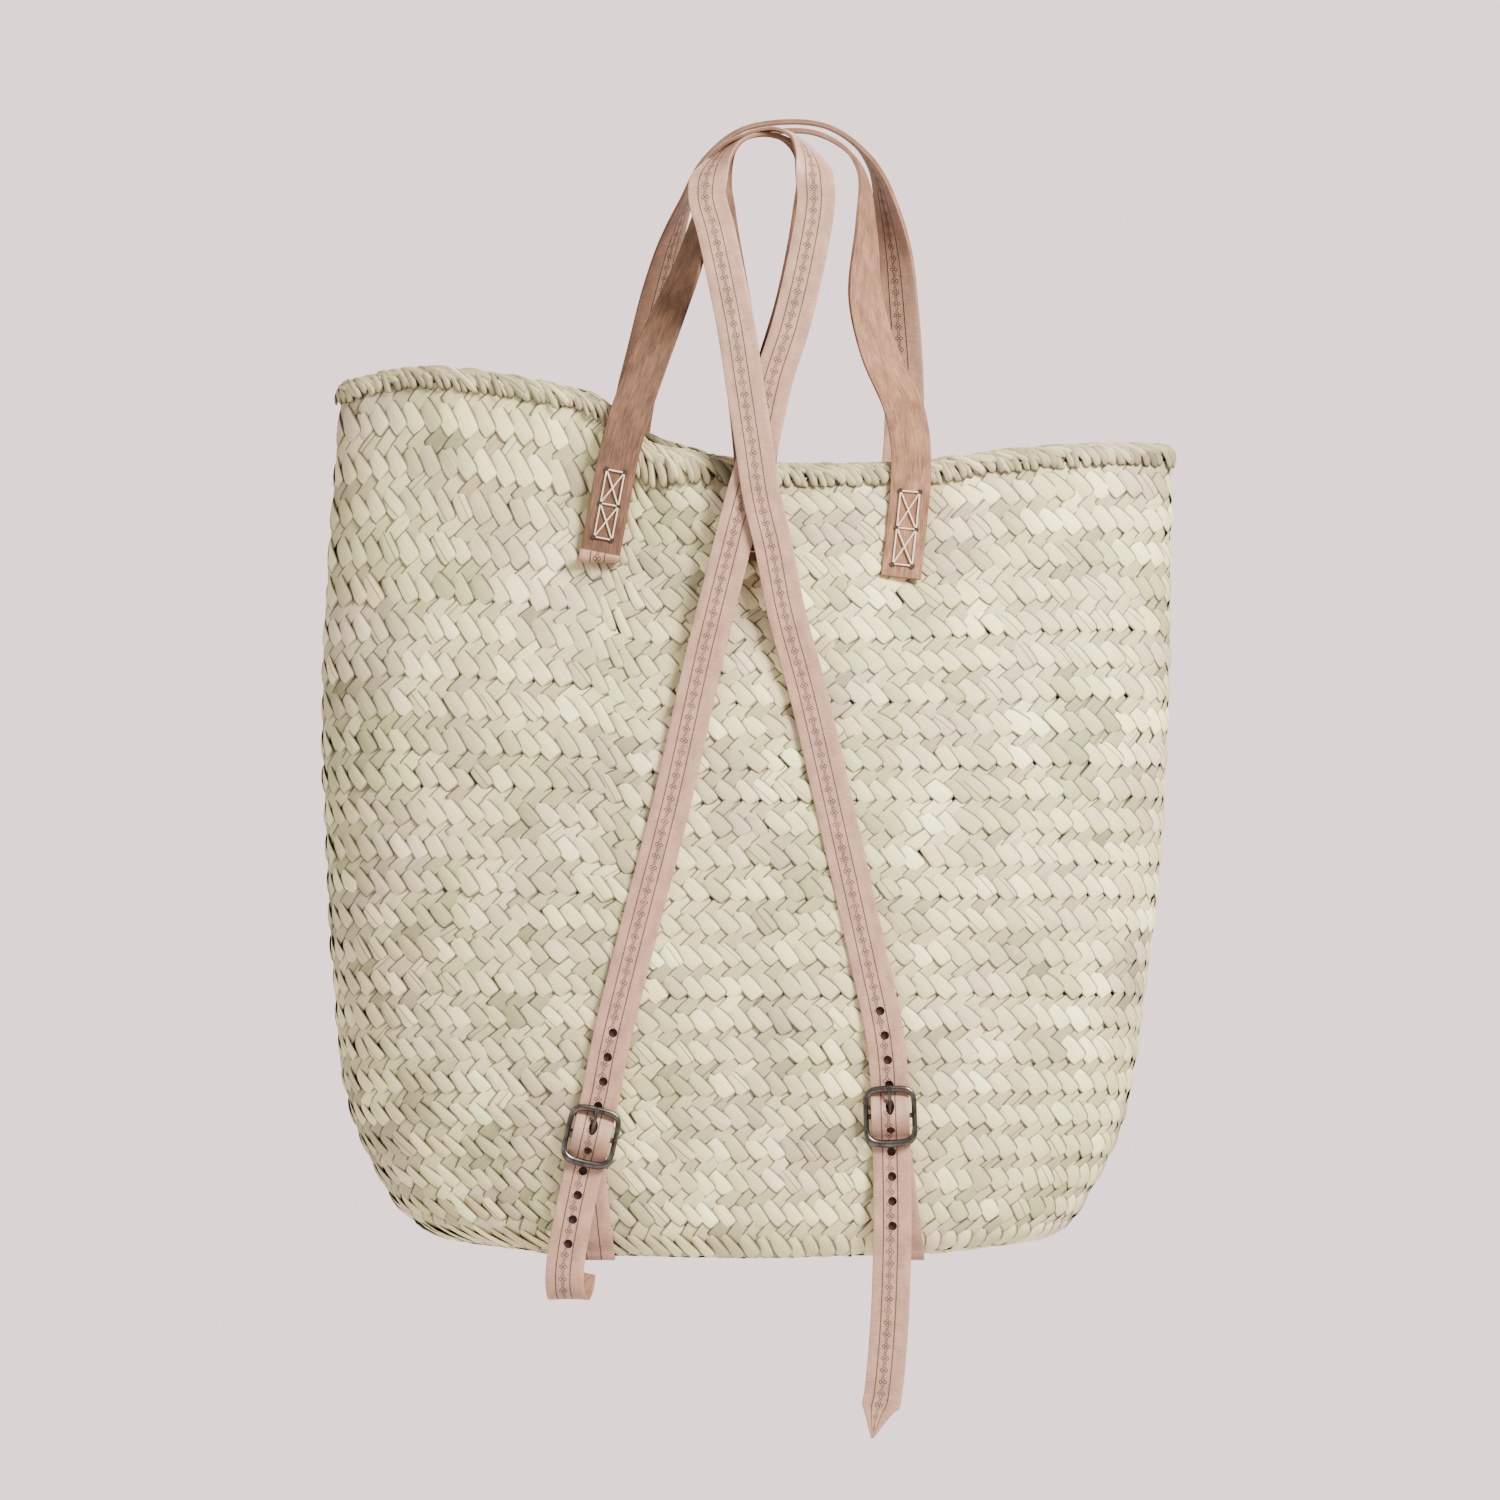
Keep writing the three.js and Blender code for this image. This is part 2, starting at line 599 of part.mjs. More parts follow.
function strapStops(name) {
  const route = STRAP_ROUTES[name];
  const seat = buckleSeat(BUCKLES[name]);
  const widthways = new THREE.Vector3(1, 0, 0);
  const stackStep = STRAP_THICK + 2 * GAP;
  const nearHandleEdge = -HANDLE_BACK_STEP / 2 - HANDLE_WIDTH / 2;
  const riseTopY = nearHandleEdge - PEG_CLEAR - 2 * route.seatLayer * stackStep;
  const fallTopY = nearHandleEdge - PEG_CLEAR - 2 * STRAP_BEND;
  const anchorX = route.rise[0].across * BODY_WIDTH;
  const rise = route.rise.map((row) => {
    const x = row.across * BODY_WIDTH;
    const z = heightAt(row.level);
    const onWall = proudY(anchorX, Math.min(z, heightAt(1)), 2 * STRAP_WIDTH, -1);
    const rimStep = row.level > 1.1 ? 0 : (RIM_WIDTH - WALL) / 2;
    const wall = onWall - LEATHER_GAP - STRAP_THICK / 2 - route.seatLayer * stackStep - rimStep;
    const up = THREE.MathUtils.clamp((1 - row.level) / (1 - route.rise.at(-1).level), 0, 1);
    return { at: new THREE.Vector3(x, THREE.MathUtils.lerp(wall, riseTopY, up), z), across: widthways };
  });
  const bendHeight = heightAt(route.rise.at(-1).level);
  const bend = [45, 90, 135].map((degrees) => {
    const angle = THREE.MathUtils.degToRad(degrees);
    const z = THREE.MathUtils.lerp(bendHeight, 0, Math.sin(angle));
    const y = THREE.MathUtils.lerp(riseTopY, fallTopY, (1 - Math.cos(angle)) / 2);
    return { at: new THREE.Vector3(route.topAcross * BODY_WIDTH, y, z), across: widthways };
  });
  const contactY = onSeat(seat, 0, BUCKLE_HEIGHT, STRAP_UNDER).y;
  const contactZ = onSeat(seat, 0, BUCKLE_HEIGHT, STRAP_UNDER).z;
  const fall = route.fall.map((row) => {
    const x = row.across * BODY_WIDTH;
    const z = heightAt(row.level);
    const straight = THREE.MathUtils.mapLinear(z, 0, contactZ, fallTopY, contactY);
    const wall = proudY(x, z, STRAP_WIDTH, -1) - LEATHER_GAP - STRAP_THICK / 2;
    const y = Math.min(straight, wall) - row.layer * stackStep;
    return { at: new THREE.Vector3(x, y, z), across: widthways };
  });
  const shoulder = STRAP_UNDER + (STRAP_OVER - STRAP_UNDER) * 0.72;
  const buckle = [
    { up: BUCKLE_HEIGHT * 0.72, out: STRAP_UNDER },
    { up: BAR_PLACE + BAR / 2, out: STRAP_UNDER },
    { up: BAR_PLACE - BAR * 0.7, out: STRAP_UNDER },
    { up: BAR_PLACE * 0.36, out: shoulder },
    { up: 0, out: STRAP_OVER },
    { up: -BAR_PLACE * 0.36, out: shoulder },
    { up: -BAR_PLACE + BAR * 0.7, out: STRAP_UNDER },
    { up: -BAR_PLACE - BAR / 2, out: STRAP_UNDER },
    { up: -BUCKLE_HEIGHT * 0.72, out: STRAP_UNDER },
  ].map((stop) => ({ at: onSeat(seat, 0, stop.up, stop.out), across: seat.sideways }));
  const lastY = buckle.at(-1).at.y;
  const tail = route.tail.map((row) => {
    const x = row.across * BODY_WIDTH;
    const y = lastY + row.back * STRAP_BEND;
    return { at: new THREE.Vector3(x, y, heightAt(row.level)), across: widthways, low: row.low, high: row.high };
  });
  return { stops: [...rise, ...bend, ...fall, ...buckle, ...tail], seat };
}

function shoulderStrap(name) {
  const { stops, seat } = strapStops(name);
  const samples = sampleRoute(stops, 2);
  let solid = toSolid(strip(samples, STRAP_WIDTH, STRAP_THICK));
  const prongHole = onSeat(seat, 0, BAR_PLACE * 0.4, STRAP_OVER);
  const fine = sampleRoute(stops, 16);
  const lengths = [0];
  for (let k = 1; k < fine.length; k += 1) {
    lengths.push(lengths[k - 1] + fine[k].at.distanceTo(fine[k - 1].at));
  }
  let home = 0;
  fine.forEach((sample, k) => {
    if (sample.at.distanceTo(prongHole) < fine[home].at.distanceTo(prongHole)) home = k;
  });
  for (let step = -HOLES_ABOVE; step <= HOLES_BELOW; step += 1) {
    const wanted = lengths[home] + step * HOLE_PITCH;
    const place = fine[lengths.findIndex((length) => length >= wanted)];
    const long = step === 0 ? PRONG + HOLE_DIAMETER + STRAP_THICK : HOLE_DIAMETER;
    solid = solid.subtract(cutter(place, HOLE_DIAMETER, long, STRAP_THICK * 3));
  }
  return fromSolid(solid);
}

// Tabs: round the centre bar, down the wall, round the base edge and under the base.
// foot is the share of BODY_WIDTH where the tab meets the base edge.
const TABS = {
  left: { foot: -0.211 },
  right: { foot: 0.153 },
};

function tabStops(name) {
  const seat = buckleSeat(BUCKLES[name]);
  const widthways = new THREE.Vector3(1, 0, 0);
  const loop = [
    { up: -BAR_PLACE * 0.5, out: TAB_LAYER + TAB_THICK + 2 * GAP },
    { up: -TAB_LOOP * 0.9, out: CENTRE_LAYER + TAB_LOOP * 0.62 },
    { up: TAB_LOOP * 0.1, out: CENTRE_LAYER + TAB_LOOP },
    { up: TAB_LOOP * 0.75, out: CENTRE_LAYER + TAB_LOOP * 0.66 },
    { up: TAB_LOOP, out: CENTRE_LAYER },
    { up: TAB_LOOP * 0.75, out: CENTRE_LAYER - TAB_LOOP * 0.66 },
    { up: TAB_LOOP * 0.1, out: CENTRE_LAYER - TAB_LOOP },
    { up: -BAR_PLACE * 0.6, out: TAB_LAYER },
    { up: -BAR_PLACE, out: TAB_LAYER },
  ].map((stop) => ({ at: onSeat(seat, 0, stop.up, stop.out), across: seat.sideways }));
  const footX = TABS[name].foot * BODY_WIDTH;
  const start = loop.at(-1).at;
  const edgeZ = heightAt(2);
  const wallRoute = [];
  for (const part of [0.35, 0.6, 0.8, 0.92, 1]) {
    const z = THREE.MathUtils.lerp(start.z, edgeZ, part);
    const x = THREE.MathUtils.lerp(start.x, footX, part);
    wallRoute.push(new THREE.Vector3(x, proudY(x, z, TAB_WIDTH, -1), z));
  }
  const corner = wallRoute.at(-1);
  const bottom = [0.25, 0.6, 1].map((part) => new THREE.Vector3(footX, corner.y + part * TAB_LAP, edgeZ));
  const line = [...wallRoute, ...bottom];
  const down = line.map((point, k) => {
    const before = line[Math.max(0, k - 1)];
    const after = line[Math.min(line.length - 1, k + 1)];
    const way = after.clone().sub(before).setX(0).normalize();
    const outward = new THREE.Vector3(0, way.z, -way.y);
    return { at: point.clone().addScaledVector(outward, TAB_LAYER), across: widthways };
  });
  return { stops: [...loop, ...down], seat };
}

function tab(name) {
  const { stops, seat } = tabStops(name);
  const body = toSolid(strip(sampleRoute(stops, 2), TAB_WIDTH, TAB_THICK));
  const slot = new THREE.BoxGeometry(PRONG + 4 * GAP, 4 * TAB_LOOP, 4 * TAB_LOOP);
  slot.applyMatrix4(new THREE.Matrix4().makeBasis(seat.sideways, seat.along, seat.outward));
  const centre = onSeat(seat, 0, TAB_LOOP / 2, CENTRE_LAYER);
  slot.translate(centre.x, centre.y, centre.z);
  return fromSolid(body.subtract(toSolid(slot)));
}

// Buckle frame: a rounded rectangle of round bar with a straight centre bar
function roundedFrame() {
  const halfWide = (BUCKLE_WIDTH - SIDE_BAR) / 2;
  const halfTall = BAR_PLACE;
  const rings = [];
  const cornerSteps = 4;
  const corners = [[1, 1], [-1, 1], [-1, -1], [1, -1]];
  corners.forEach(([sx, sy], quarter) => {
    for (let step = 0; step <= cornerSteps; step += 1) {
      const angle = ((quarter + step / cornerSteps) * Math.PI) / 2;
      const x = sx * (halfWide - BUCKLE_CORNER) + BUCKLE_CORNER * Math.cos(angle);
      const y = sy * (halfTall - BUCKLE_CORNER) + BUCKLE_CORNER * Math.sin(angle);
      const upright = Math.abs(Math.sin(angle));
      const radius = THREE.MathUtils.lerp(SIDE_BAR, BAR, upright) / 2;
      const out = new THREE.Vector3(Math.cos(angle), Math.sin(angle), 0);
      rings.push(Array.from({ length: 8 }, (_, k) => {
        const round = ((k + 0.5) / 8) * 2 * Math.PI;
        return new THREE.Vector3(x, y, 0)
          .addScaledVector(out, radius * Math.cos(round))
          .add(new THREE.Vector3(0, 0, radius * Math.sin(round)));
      }));
    }
  });
  return toSolid(faceOutwards(skinRings(rings, true)));
}

function buckleFrame(name) {
  const seat = buckleSeat(BUCKLES[name]);
  const centreBar = new THREE.CylinderGeometry(CENTRE_BAR / 2, CENTRE_BAR / 2, BUCKLE_WIDTH - SIDE_BAR, 8);
  centreBar.rotateZ(Math.PI / 2);
  centreBar.translate(0, 0, CENTRE_LAYER - FRAME_LAYER);
  const geometry = fromSolid(roundedFrame().add(toSolid(centreBar)));
  geometry.applyMatrix4(new THREE.Matrix4().makeBasis(seat.sideways, seat.along, seat.outward));
  const centre = onSeat(seat, 0, 0, FRAME_LAYER);
  geometry.translate(centre.x, centre.y, centre.z);
  return faceOutwards(geometry);
}

// Prong: an eye round the centre bar and a finger through the strap's hole onto the top bar
function buckleProng(name) {
  const seat = buckleSeat(BUCKLES[name]);
  const eye = CENTRE_BAR / 2 + GAP + PRONG / 2;
  const rest = FRAME_LAYER + BAR / 2 + GAP + PRONG / 2;
  const points = [250, 210, 170, 130, 90, 50, 10].map((degrees) => {
    const angle = THREE.MathUtils.degToRad(degrees);
    return onSeat(seat, 0, eye * Math.sin(angle), CENTRE_LAYER + eye * Math.cos(angle));
  });
  points.push(onSeat(seat, 0, BAR_PLACE * 0.45, (CENTRE_LAYER + eye + rest) / 2));
  points.push(onSeat(seat, 0, BAR_PLACE - BAR / 2, rest));
  points.push(onSeat(seat, 0, BAR_PLACE + BAR / 2, rest));
  const stops = points.map((at) => ({ at, across: seat.sideways }));
  const rings = sampleRoute(stops, 2).map((sample) => Array.from({ length: 6 }, (_, k) => {
    const round = (k / 6) * 2 * Math.PI;
    return sample.at.clone()
      .addScaledVector(sample.across, (PRONG / 2) * Math.cos(round))
      .addScaledVector(sample.facing, (PRONG / 2) * Math.sin(round));
  }));
  return faceOutwards(skinRings(rings, false));
}

const STRAW = new THREE.MeshStandardMaterial({ color: 0xd9d3ae, roughness: 0.8, metalness: 0 });
const BRAID = new THREE.MeshStandardMaterial({ color: 0xc9bb86, roughness: 0.85, metalness: 0 });
const GRAIN = new THREE.MeshStandardMaterial({ color: 0xd3ab98, roughness: 0.6, metalness: 0 });
const SUEDE = new THREE.MeshStandardMaterial({ color: 0xab7f63, roughness: 0.9, metalness: 0 });
const PEWTER = new THREE.MeshStandardMaterial({ color: 0x5e5a55, roughness: 0.4, metalness: 1 });

const backpack = new THREE.Group();

function addPiece(name, geometry, material) {
  geometry.computeVertexNormals();
  const mesh = new THREE.Mesh(geometry, material);
  mesh.name = name;
  backpack.add(mesh);
}

addPiece("basket_shell", basketShell(), STRAW);
addPiece("rim_braid", rimBraid(), BRAID);
addPiece("handle_near", handle(NEAR_HANDLE, -1), SUEDE);
addPiece("handle_far", handle(FAR_HANDLE, 1), SUEDE);
for (const name of ["left", "right"]) {
  addPiece(`shoulder_strap_${name}`, shoulderStrap(name), GRAIN);
  addPiece(`tab_${name}`, tab(name), GRAIN);
  addPiece(`buckle_frame_${name}`, buckleFrame(name), PEWTER);
  addPiece(`buckle_prong_${name}`, buckleProng(name), PEWTER);
}

export default backpack;
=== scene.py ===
"""Looks of a woven straw backpack: braided palm leaf, embossed leather straps and pewter buckles."""
import json
import math
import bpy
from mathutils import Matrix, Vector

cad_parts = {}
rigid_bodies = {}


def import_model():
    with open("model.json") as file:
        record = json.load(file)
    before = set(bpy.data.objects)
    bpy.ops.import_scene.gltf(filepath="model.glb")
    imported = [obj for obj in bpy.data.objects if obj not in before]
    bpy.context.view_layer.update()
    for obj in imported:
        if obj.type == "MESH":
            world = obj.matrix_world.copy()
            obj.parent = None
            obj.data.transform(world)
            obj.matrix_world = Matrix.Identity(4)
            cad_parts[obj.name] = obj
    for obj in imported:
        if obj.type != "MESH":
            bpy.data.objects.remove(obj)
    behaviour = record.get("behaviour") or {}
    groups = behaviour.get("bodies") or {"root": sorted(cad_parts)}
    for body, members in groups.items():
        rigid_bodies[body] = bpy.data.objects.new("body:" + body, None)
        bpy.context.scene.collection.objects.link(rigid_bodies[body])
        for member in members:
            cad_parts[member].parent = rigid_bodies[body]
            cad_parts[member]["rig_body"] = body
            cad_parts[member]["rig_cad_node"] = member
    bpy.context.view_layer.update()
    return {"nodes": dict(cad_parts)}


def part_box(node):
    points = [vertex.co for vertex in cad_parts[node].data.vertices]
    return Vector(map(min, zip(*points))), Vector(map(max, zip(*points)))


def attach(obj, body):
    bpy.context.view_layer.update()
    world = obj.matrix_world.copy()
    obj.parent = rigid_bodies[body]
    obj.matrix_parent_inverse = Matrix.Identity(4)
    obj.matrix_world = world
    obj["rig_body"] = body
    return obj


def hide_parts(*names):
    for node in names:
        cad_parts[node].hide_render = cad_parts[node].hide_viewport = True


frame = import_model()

from types import SimpleNamespace

import bpy
import numpy as np
from mathutils import Matrix, Vector

bl_info = {
    "name": "Woven straw backpack",
    "version": (1, 0, 0),
    "blender": (4, 5, 0),
    "location": "View3D > Sidebar > Backpack",
    "description": "Palm-leaf basket with embossed leather straps and buckles",
    "category": "Object",
}

SHELL_LOW, SHELL_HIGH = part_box("basket_shell")
MM = 0.001
HANGING_DROP = 0.16

# How much the base edge rises at its left and right ends
BASE_RISE = 8 * MM

# Sections of the basket, from the base (share 0) to the rim (share 1).
# half and shift are shares of the width, depth of the depth, and square is the outline's exponent.
SECTION_COLUMNS = ("share", "half", "shift", "depth", "square")
SECTIONS = (
    (0.0, 0.352, -0.036, 0.405, 2.7),
    (0.022, 0.383, -0.038, 0.444, 2.7),
    (0.055, 0.406, -0.042, 0.466, 2.6),
    (0.14, 0.445, -0.043, 0.488, 2.5),
    (0.22, 0.465, -0.044, 0.497, 2.4),
    (0.32, 0.477, -0.042, 0.5, 2.3),
    (0.5, 0.492, -0.037, 0.478, 2.2),
    (0.7, 0.499, -0.035, 0.415, 2.1),
    (0.86, 0.495, -0.029, 0.345, 2.05),
    (1.0, 0.49, -0.022, 0.285, 2.0),
)

# Height of the rim, as shares of the height, against the share of the half width.
# roll is how much taller the rim braid shows where it is rolled outwards.
RIM_COLUMNS = ("across", "near", "far", "roll")
RIM = (
    (-1.0, 0.098, 0.098, 0.0),
    (-0.84, 0.115, 0.1, 0.0),
    (-0.67, 0.11, 0.094, 0.0),
    (-0.49, 0.093, 0.075, 0.0),
    (-0.37, 0.073, 0.055, 0.1),
    (-0.265, 0.023, 0.035, 1.0),
    (-0.155, 0.009, 0.014, 0.5),
    (0.06, -0.007, -0.012, 0.0),
    (0.42, -0.003, -0.018, 0.0),
    (0.6, 0.011, -0.004, 0.0),
    (0.87, 0.02, 0.006, 0.0),
    (1.0, 0.018, 0.018, 0.0),
)

# Hollows (out below 0) and bulges of the near wall: place, spread and depth as shares of the body.
DENTS = (
    {"across": -0.215, "share": 0.84, "wide": 0.1, "tall": 0.12, "out": -0.06},
    {"across": -0.115, "share": 1.0, "wide": 0.055, "tall": 0.06, "out": 0.06},
    {"across": -0.3, "share": 1.03, "wide": 0.12, "tall": 0.09, "out": 0.04},
    {"across": 0.16, "share": 0.9, "wide": 0.07, "tall": 0.1, "out": -0.03},
    {"across": -0.02, "share": 0.72, "wide": 0.12, "tall": 0.16, "out": 0.03},
    {"across": -0.36, "share": 0.12, "wide": 0.06, "tall": 0.07, "out": -0.05},
    {"across": 0.3, "share": 0.45, "wide": 0.14, "tall": 0.2, "out": 0.02},
)


def length_property(name, text, default):
    return bpy.props.FloatProperty(name=name, description=text, default=default, unit="LENGTH")


def colour_property(name, text, default):
    return bpy.props.FloatVectorProperty(name=name, description=text, default=default, subtype="COLOR",
                                         min=0, max=1)


class BasketSizes(bpy.types.PropertyGroup):
    """Sizes and colours of the braided basket."""

    width: length_property("Width", "Greatest width named in the sections table",
                           round(SHELL_HIGH.x - SHELL_LOW.x, 3))
    depth: length_property("Depth", "Greatest depth of the belly", round(SHELL_HIGH.y - SHELL_LOW.y, 3))
    height: length_property("Height", "Height of the body from the base to the middle of the rim",
                            round(-SHELL_LOW.z - HANGING_DROP, 3))
    drop: length_property("Hanging drop", "From the hanging point to the middle of the rim", HANGING_DROP)
    wall: length_property("Wall", "Thickness of the braided wall", 0.003)
    rim_height: length_property("Rim height", "Height of the rim braid", 0.0075)
    rim_width: length_property("Rim width", "Width of the rim braid", 0.0075)
    rows: bpy.props.IntProperty(
        name="Rows", description="Rows of braid between the base and the rim", default=24)
    columns: bpy.props.IntProperty(
        name="Columns", description="Leaves round the basket in one row", default=98)
    cream: colour_property("Cream leaf", "Colour of the palest leaves", (0.68, 0.585, 0.31))
    green: colour_property("Green leaf", "Colour of the greenish leaves", (0.50, 0.475, 0.225))
    beige: colour_property("Beige leaf", "Colour of the pinkish leaves", (0.55, 0.43, 0.28))
    tan: colour_property("Tan leaf", "Colour of the brownest leaves", (0.46, 0.35, 0.18))
    # Painted shade: the dark colour seen between the leaves
    gap: colour_property("Gap", "Colour seen between the leaves", (0.055, 0.036, 0.02))


class LeatherSizes(bpy.types.PropertyGroup):
    """Sizes and colours of the straps."""

    handle_width: length_property("Hand strap width", "Width of the two hand straps", 0.02)
    handle_thick: length_property("Hand strap thickness", "Leather of the hand straps", 0.0022)
    strap_width: length_property("Shoulder strap width", "Width of the two shoulder straps", 0.019)
    strap_thick: length_property("Shoulder strap thickness", "Leather of the shoulder straps", 0.002)
    tab_thick: length_property("Tab thickness", "Leather of the tabs", 0.0018)
    hole: length_property("Hole", "Diameter of the adjusting holes", 0.0044)
    hole_pitch: length_property("Hole pitch", "Distance between the adjusting holes", 0.0123)
    grain: colour_property("Grain", "Colour of the smooth side", (0.39, 0.22, 0.148))
    suede: colour_property("Suede", "Colour of the flesh side", (0.205, 0.1, 0.055))
    thread: colour_property("Thread", "Colour of the sewing thread", (0.78, 0.66, 0.47))


class BuckleSizes(bpy.types.PropertyGroup):
    """Sizes and colours of the buckles."""

    width: length_property("Width", "Outer width of a buckle", 0.027)
    height: length_property("Height", "Outer height of a buckle", 0.03)
    bar: length_property("Bar", "Thickness of the top and bottom bars", 0.0034)
    side_bar: length_property("Side bar", "Thickness of the two sides", 0.003)
    centre_bar: length_property("Centre bar", "Thickness of the bar behind the strap", 0.0026)
    prong: length_property("Prong", "Thickness of the prong", 0.0018)
    metal: colour_property("Metal", "Colour of the antique finish", (0.085, 0.075, 0.066))


def basket():
    return bpy.context.scene.backpack_basket


def leather():
    return bpy.context.scene.backpack_leather


def buckles():
    return bpy.context.scene.backpack_buckles


# Shape of the basket's wall

def smooth_column(table, columns, key, at, column):
    """Values of one column on a smooth curve through the table's rows."""
    keys = np.array([row[columns.index(key)] for row in table])
    values = np.array([row[columns.index(column)] for row in table])
    slopes = np.empty_like(values)
    slopes[1:-1] = (values[2:] - values[:-2]) / (keys[2:] - keys[:-2])
    slopes[0] = (values[1] - values[0]) / (keys[1] - keys[0])
    slopes[-1] = (values[-1] - values[-2]) / (keys[-1] - keys[-2])
    at = np.clip(at, keys[0], keys[-1])
    row = np.clip(np.searchsorted(keys, at, side="right") - 1, 0, len(keys) - 2)
    span = keys[row + 1] - keys[row]
    t = (at - keys[row]) / span
    return (values[row] * (1 + 2 * t) * (1 - t) ** 2
            + values[row + 1] * t * t * (3 - 2 * t)
            + slopes[row] * span * t * (1 - t) ** 2
            + slopes[row + 1] * span * t * t * (t - 1))


def section(share):
    size = basket()
    column = lambda name: smooth_column(SECTIONS, SECTION_COLUMNS, "share", share, name)
    return (column("half") * size.width, column("shift") * size.width,
            column("depth") * size.depth, column("square"))


def rim_column(cosine, column):
    return smooth_column(RIM, RIM_COLUMNS, "across", cosine, column)


def dent_at(x, share):
    size = basket()
    out = np.zeros_like(x)
    for dent in DENTS:
        sideways = (x / size.width - dent["across"]) / dent["wide"]
        upwards = (share - dent["share"]) / dent["tall"]
        out += dent["out"] * size.depth * np.exp(-sideways * sideways - upwards * upwards)
    return out


def outline_y(cosine, share, near):
    half, shift, depth, square = section(share)
    flat = np.maximum(0, 1 - np.abs(cosine) ** square) ** (1 / square)
    out = np.where(near, dent_at(shift + half * cosine, share) * flat, 0)
    return np.where(near, -1, 1) * (depth * flat + out)


def outline_z(cosine, share, near):
    size = basket()
    rise = np.where(near, rim_column(cosine, "near"), rim_column(cosine, "far"))
    bottom_curve = BASE_RISE * cosine * cosine * (1 - share) ** 12
    return -size.drop - size.height * (1 - share) + size.height * rise * share ** 4 + bottom_curve


def wall_point(angle, share):
    cosine = np.cos(angle)
    near = np.sin(angle) < 0
    half, shift, _, _ = section(share)
    return np.stack([shift + half * cosine, outline_y(cosine, share, near),
                     outline_z(cosine, share, near)], axis=-1)


def braid_height(angle):
    roll = np.where(np.sin(angle) < 0, rim_column(np.cos(angle), "roll"), 0)
    return basket().rim_height * (1 + roll)


def shell_top(angle):
    size = basket()
    near = np.sin(angle) < 0
    cosine = np.cos(angle)
    rise = np.where(near, rim_column(cosine, "near"), rim_column(cosine, "far"))
    return 1 - (braid_height(angle) + 0.6 * MM) / (size.height * (1 + 4 * rise))


def wall_y(x, z, side):
    """Depth coordinate of the wall at x and z. side is -1 for the near wall and 1 for the far one."""
    share = 1.0
    cosine = 0.0
    near = np.array(side < 0)
    for _ in range(8):
        half, shift, _, _ = section(share)
        cosine = np.clip((x - shift) / half, -0.98, 0.98)
        error = z - outline_z(cosine, share, near)
        share = np.clip(share + error / (basket().height * 1.2), 0, 1)
    return float(outline_y(cosine, share, near))


def proud_y(x, z, width, side):
    """The wall's most outward depth across a strap that lies on it."""
    return side * max(side * wall_y(x + step * width / 4, z, side) for step in range(-2, 3))


class Sheet:
    """A surface on which leaves are laid. along runs round the mouth from 0 to 1, from the left end and past
    the near wall first. up runs across the rows, and turns outwards with along."""

    def __init__(self, places, ups):
        self.places = places
        self.ups = np.array(ups)
        self.around = places.shape[1] - 1
        along = np.gradient(places, axis=1)
        along[:, 0] = along[:, -1] = places[:, 1] - places[:, -2]
        up = np.gradient(places, axis=0)
        normals = np.cross(along, up)
        self.normals = normals / np.linalg.norm(normals, axis=-1, keepdims=True)

    def at(self, along, up):
        """Places and outward directions for arrays of along and up."""
        row = np.interp(up, self.ups, np.arange(len(self.ups)))
        low = np.clip(row.astype(int), 0, len(self.ups) - 2)
        upper = (row - low)[..., None]
        turn = (along % 1.0) * self.around
        left = np.clip(turn.astype(int), 0, self.around - 1)
        right = (turn - left)[..., None]

        def mix(values):
            lower_line = values[low, left] * (1 - right) + values[low, left + 1] * right
            upper_line = values[low + 1, left] * (1 - right) + values[low + 1, left + 1] * right
            return lower_line * (1 - upper) + upper_line * upper

        normal = mix(self.normals)
        return mix(self.places), normal / np.linalg.norm(normal, axis=-1, keepdims=True)


# Steps of a sheet round the mouth
AROUND = 480


def even_angles(share):
    """Angles that space points evenly along one ring of the wall."""
    angle = np.linspace(math.pi, 3 * math.pi, AROUND * 4 + 1)
    ring = wall_point(angle, share * shell_top(angle))
    steps = np.linalg.norm(np.diff(ring, axis=0), axis=1)
    length = np.concatenate([[0], np.cumsum(steps)])
    return np.interp(np.linspace(0, length[-1], AROUND + 1), length, angle)


def wall_sheet():
    """The outer wall, with up counted in rows of braid from the base edge, and below 0 under the base."""
    base_rows = 3.3
    per_row = 4
    rows = basket().rows
    half, shift, depth, _ = section(0.0)
    centre = np.array([shift, 0, SHELL_LOW.z])
    angle = even_angles(0.0)
    edge = wall_point(angle, 0 * angle)
    ups = []
    lines = []
    steps = int(base_rows * per_row)
    for step in range(steps, 0, -1):
        inset = step / steps * (depth - 2 * MM)
        shrink = np.array([1 - inset / half, 1 - inset / depth, 1 - inset / depth])
        lines.append(centre + (edge - centre) * shrink)
        ups.append(-step / per_row)
    for step in range(rows * per_row + 1):
        share = step / (rows * per_row)
        angle = even_angles(share)
        lines.append(wall_point(angle, share * shell_top(angle)))
        ups.append(step / per_row)
    return Sheet(np.array(lines), ups)


def rim_sheet():
    """The rim braid's skin, with up from 0 at its outer foot over the top to 1 at its inner foot."""
    size = basket()
    angle = even_angles(1.0)
    top = wall_point(angle, 1 + 0 * angle)
    foot = wall_point(angle, shell_top(angle))
    past = 0.12
    round_top = 0.8
    step = 0.02
    run = wall_point(angle + step, 1 + 0 * angle) - wall_point(angle - step, 1 + 0 * angle)
    outward = np.stack([run[:, 1], -run[:, 0], 0 * run[:, 0]], axis=-1)
    outward /= np.linalg.norm(outward, axis=-1, keepdims=True)
    ups = np.linspace(-past, 1 + past, 16)
    lines = []
    for up in ups:
        turn = math.pi * up
        reach = math.cos(turn) * size.rim_width * 0.46 - size.wall / 2
        rise = math.copysign(abs(math.sin(turn)) ** round_top, math.sin(turn)) * 0.94
        lines.append(foot + (top - foot) * rise + outward * reach)
    return Sheet(np.array(lines), ups)


# Routes of the leather

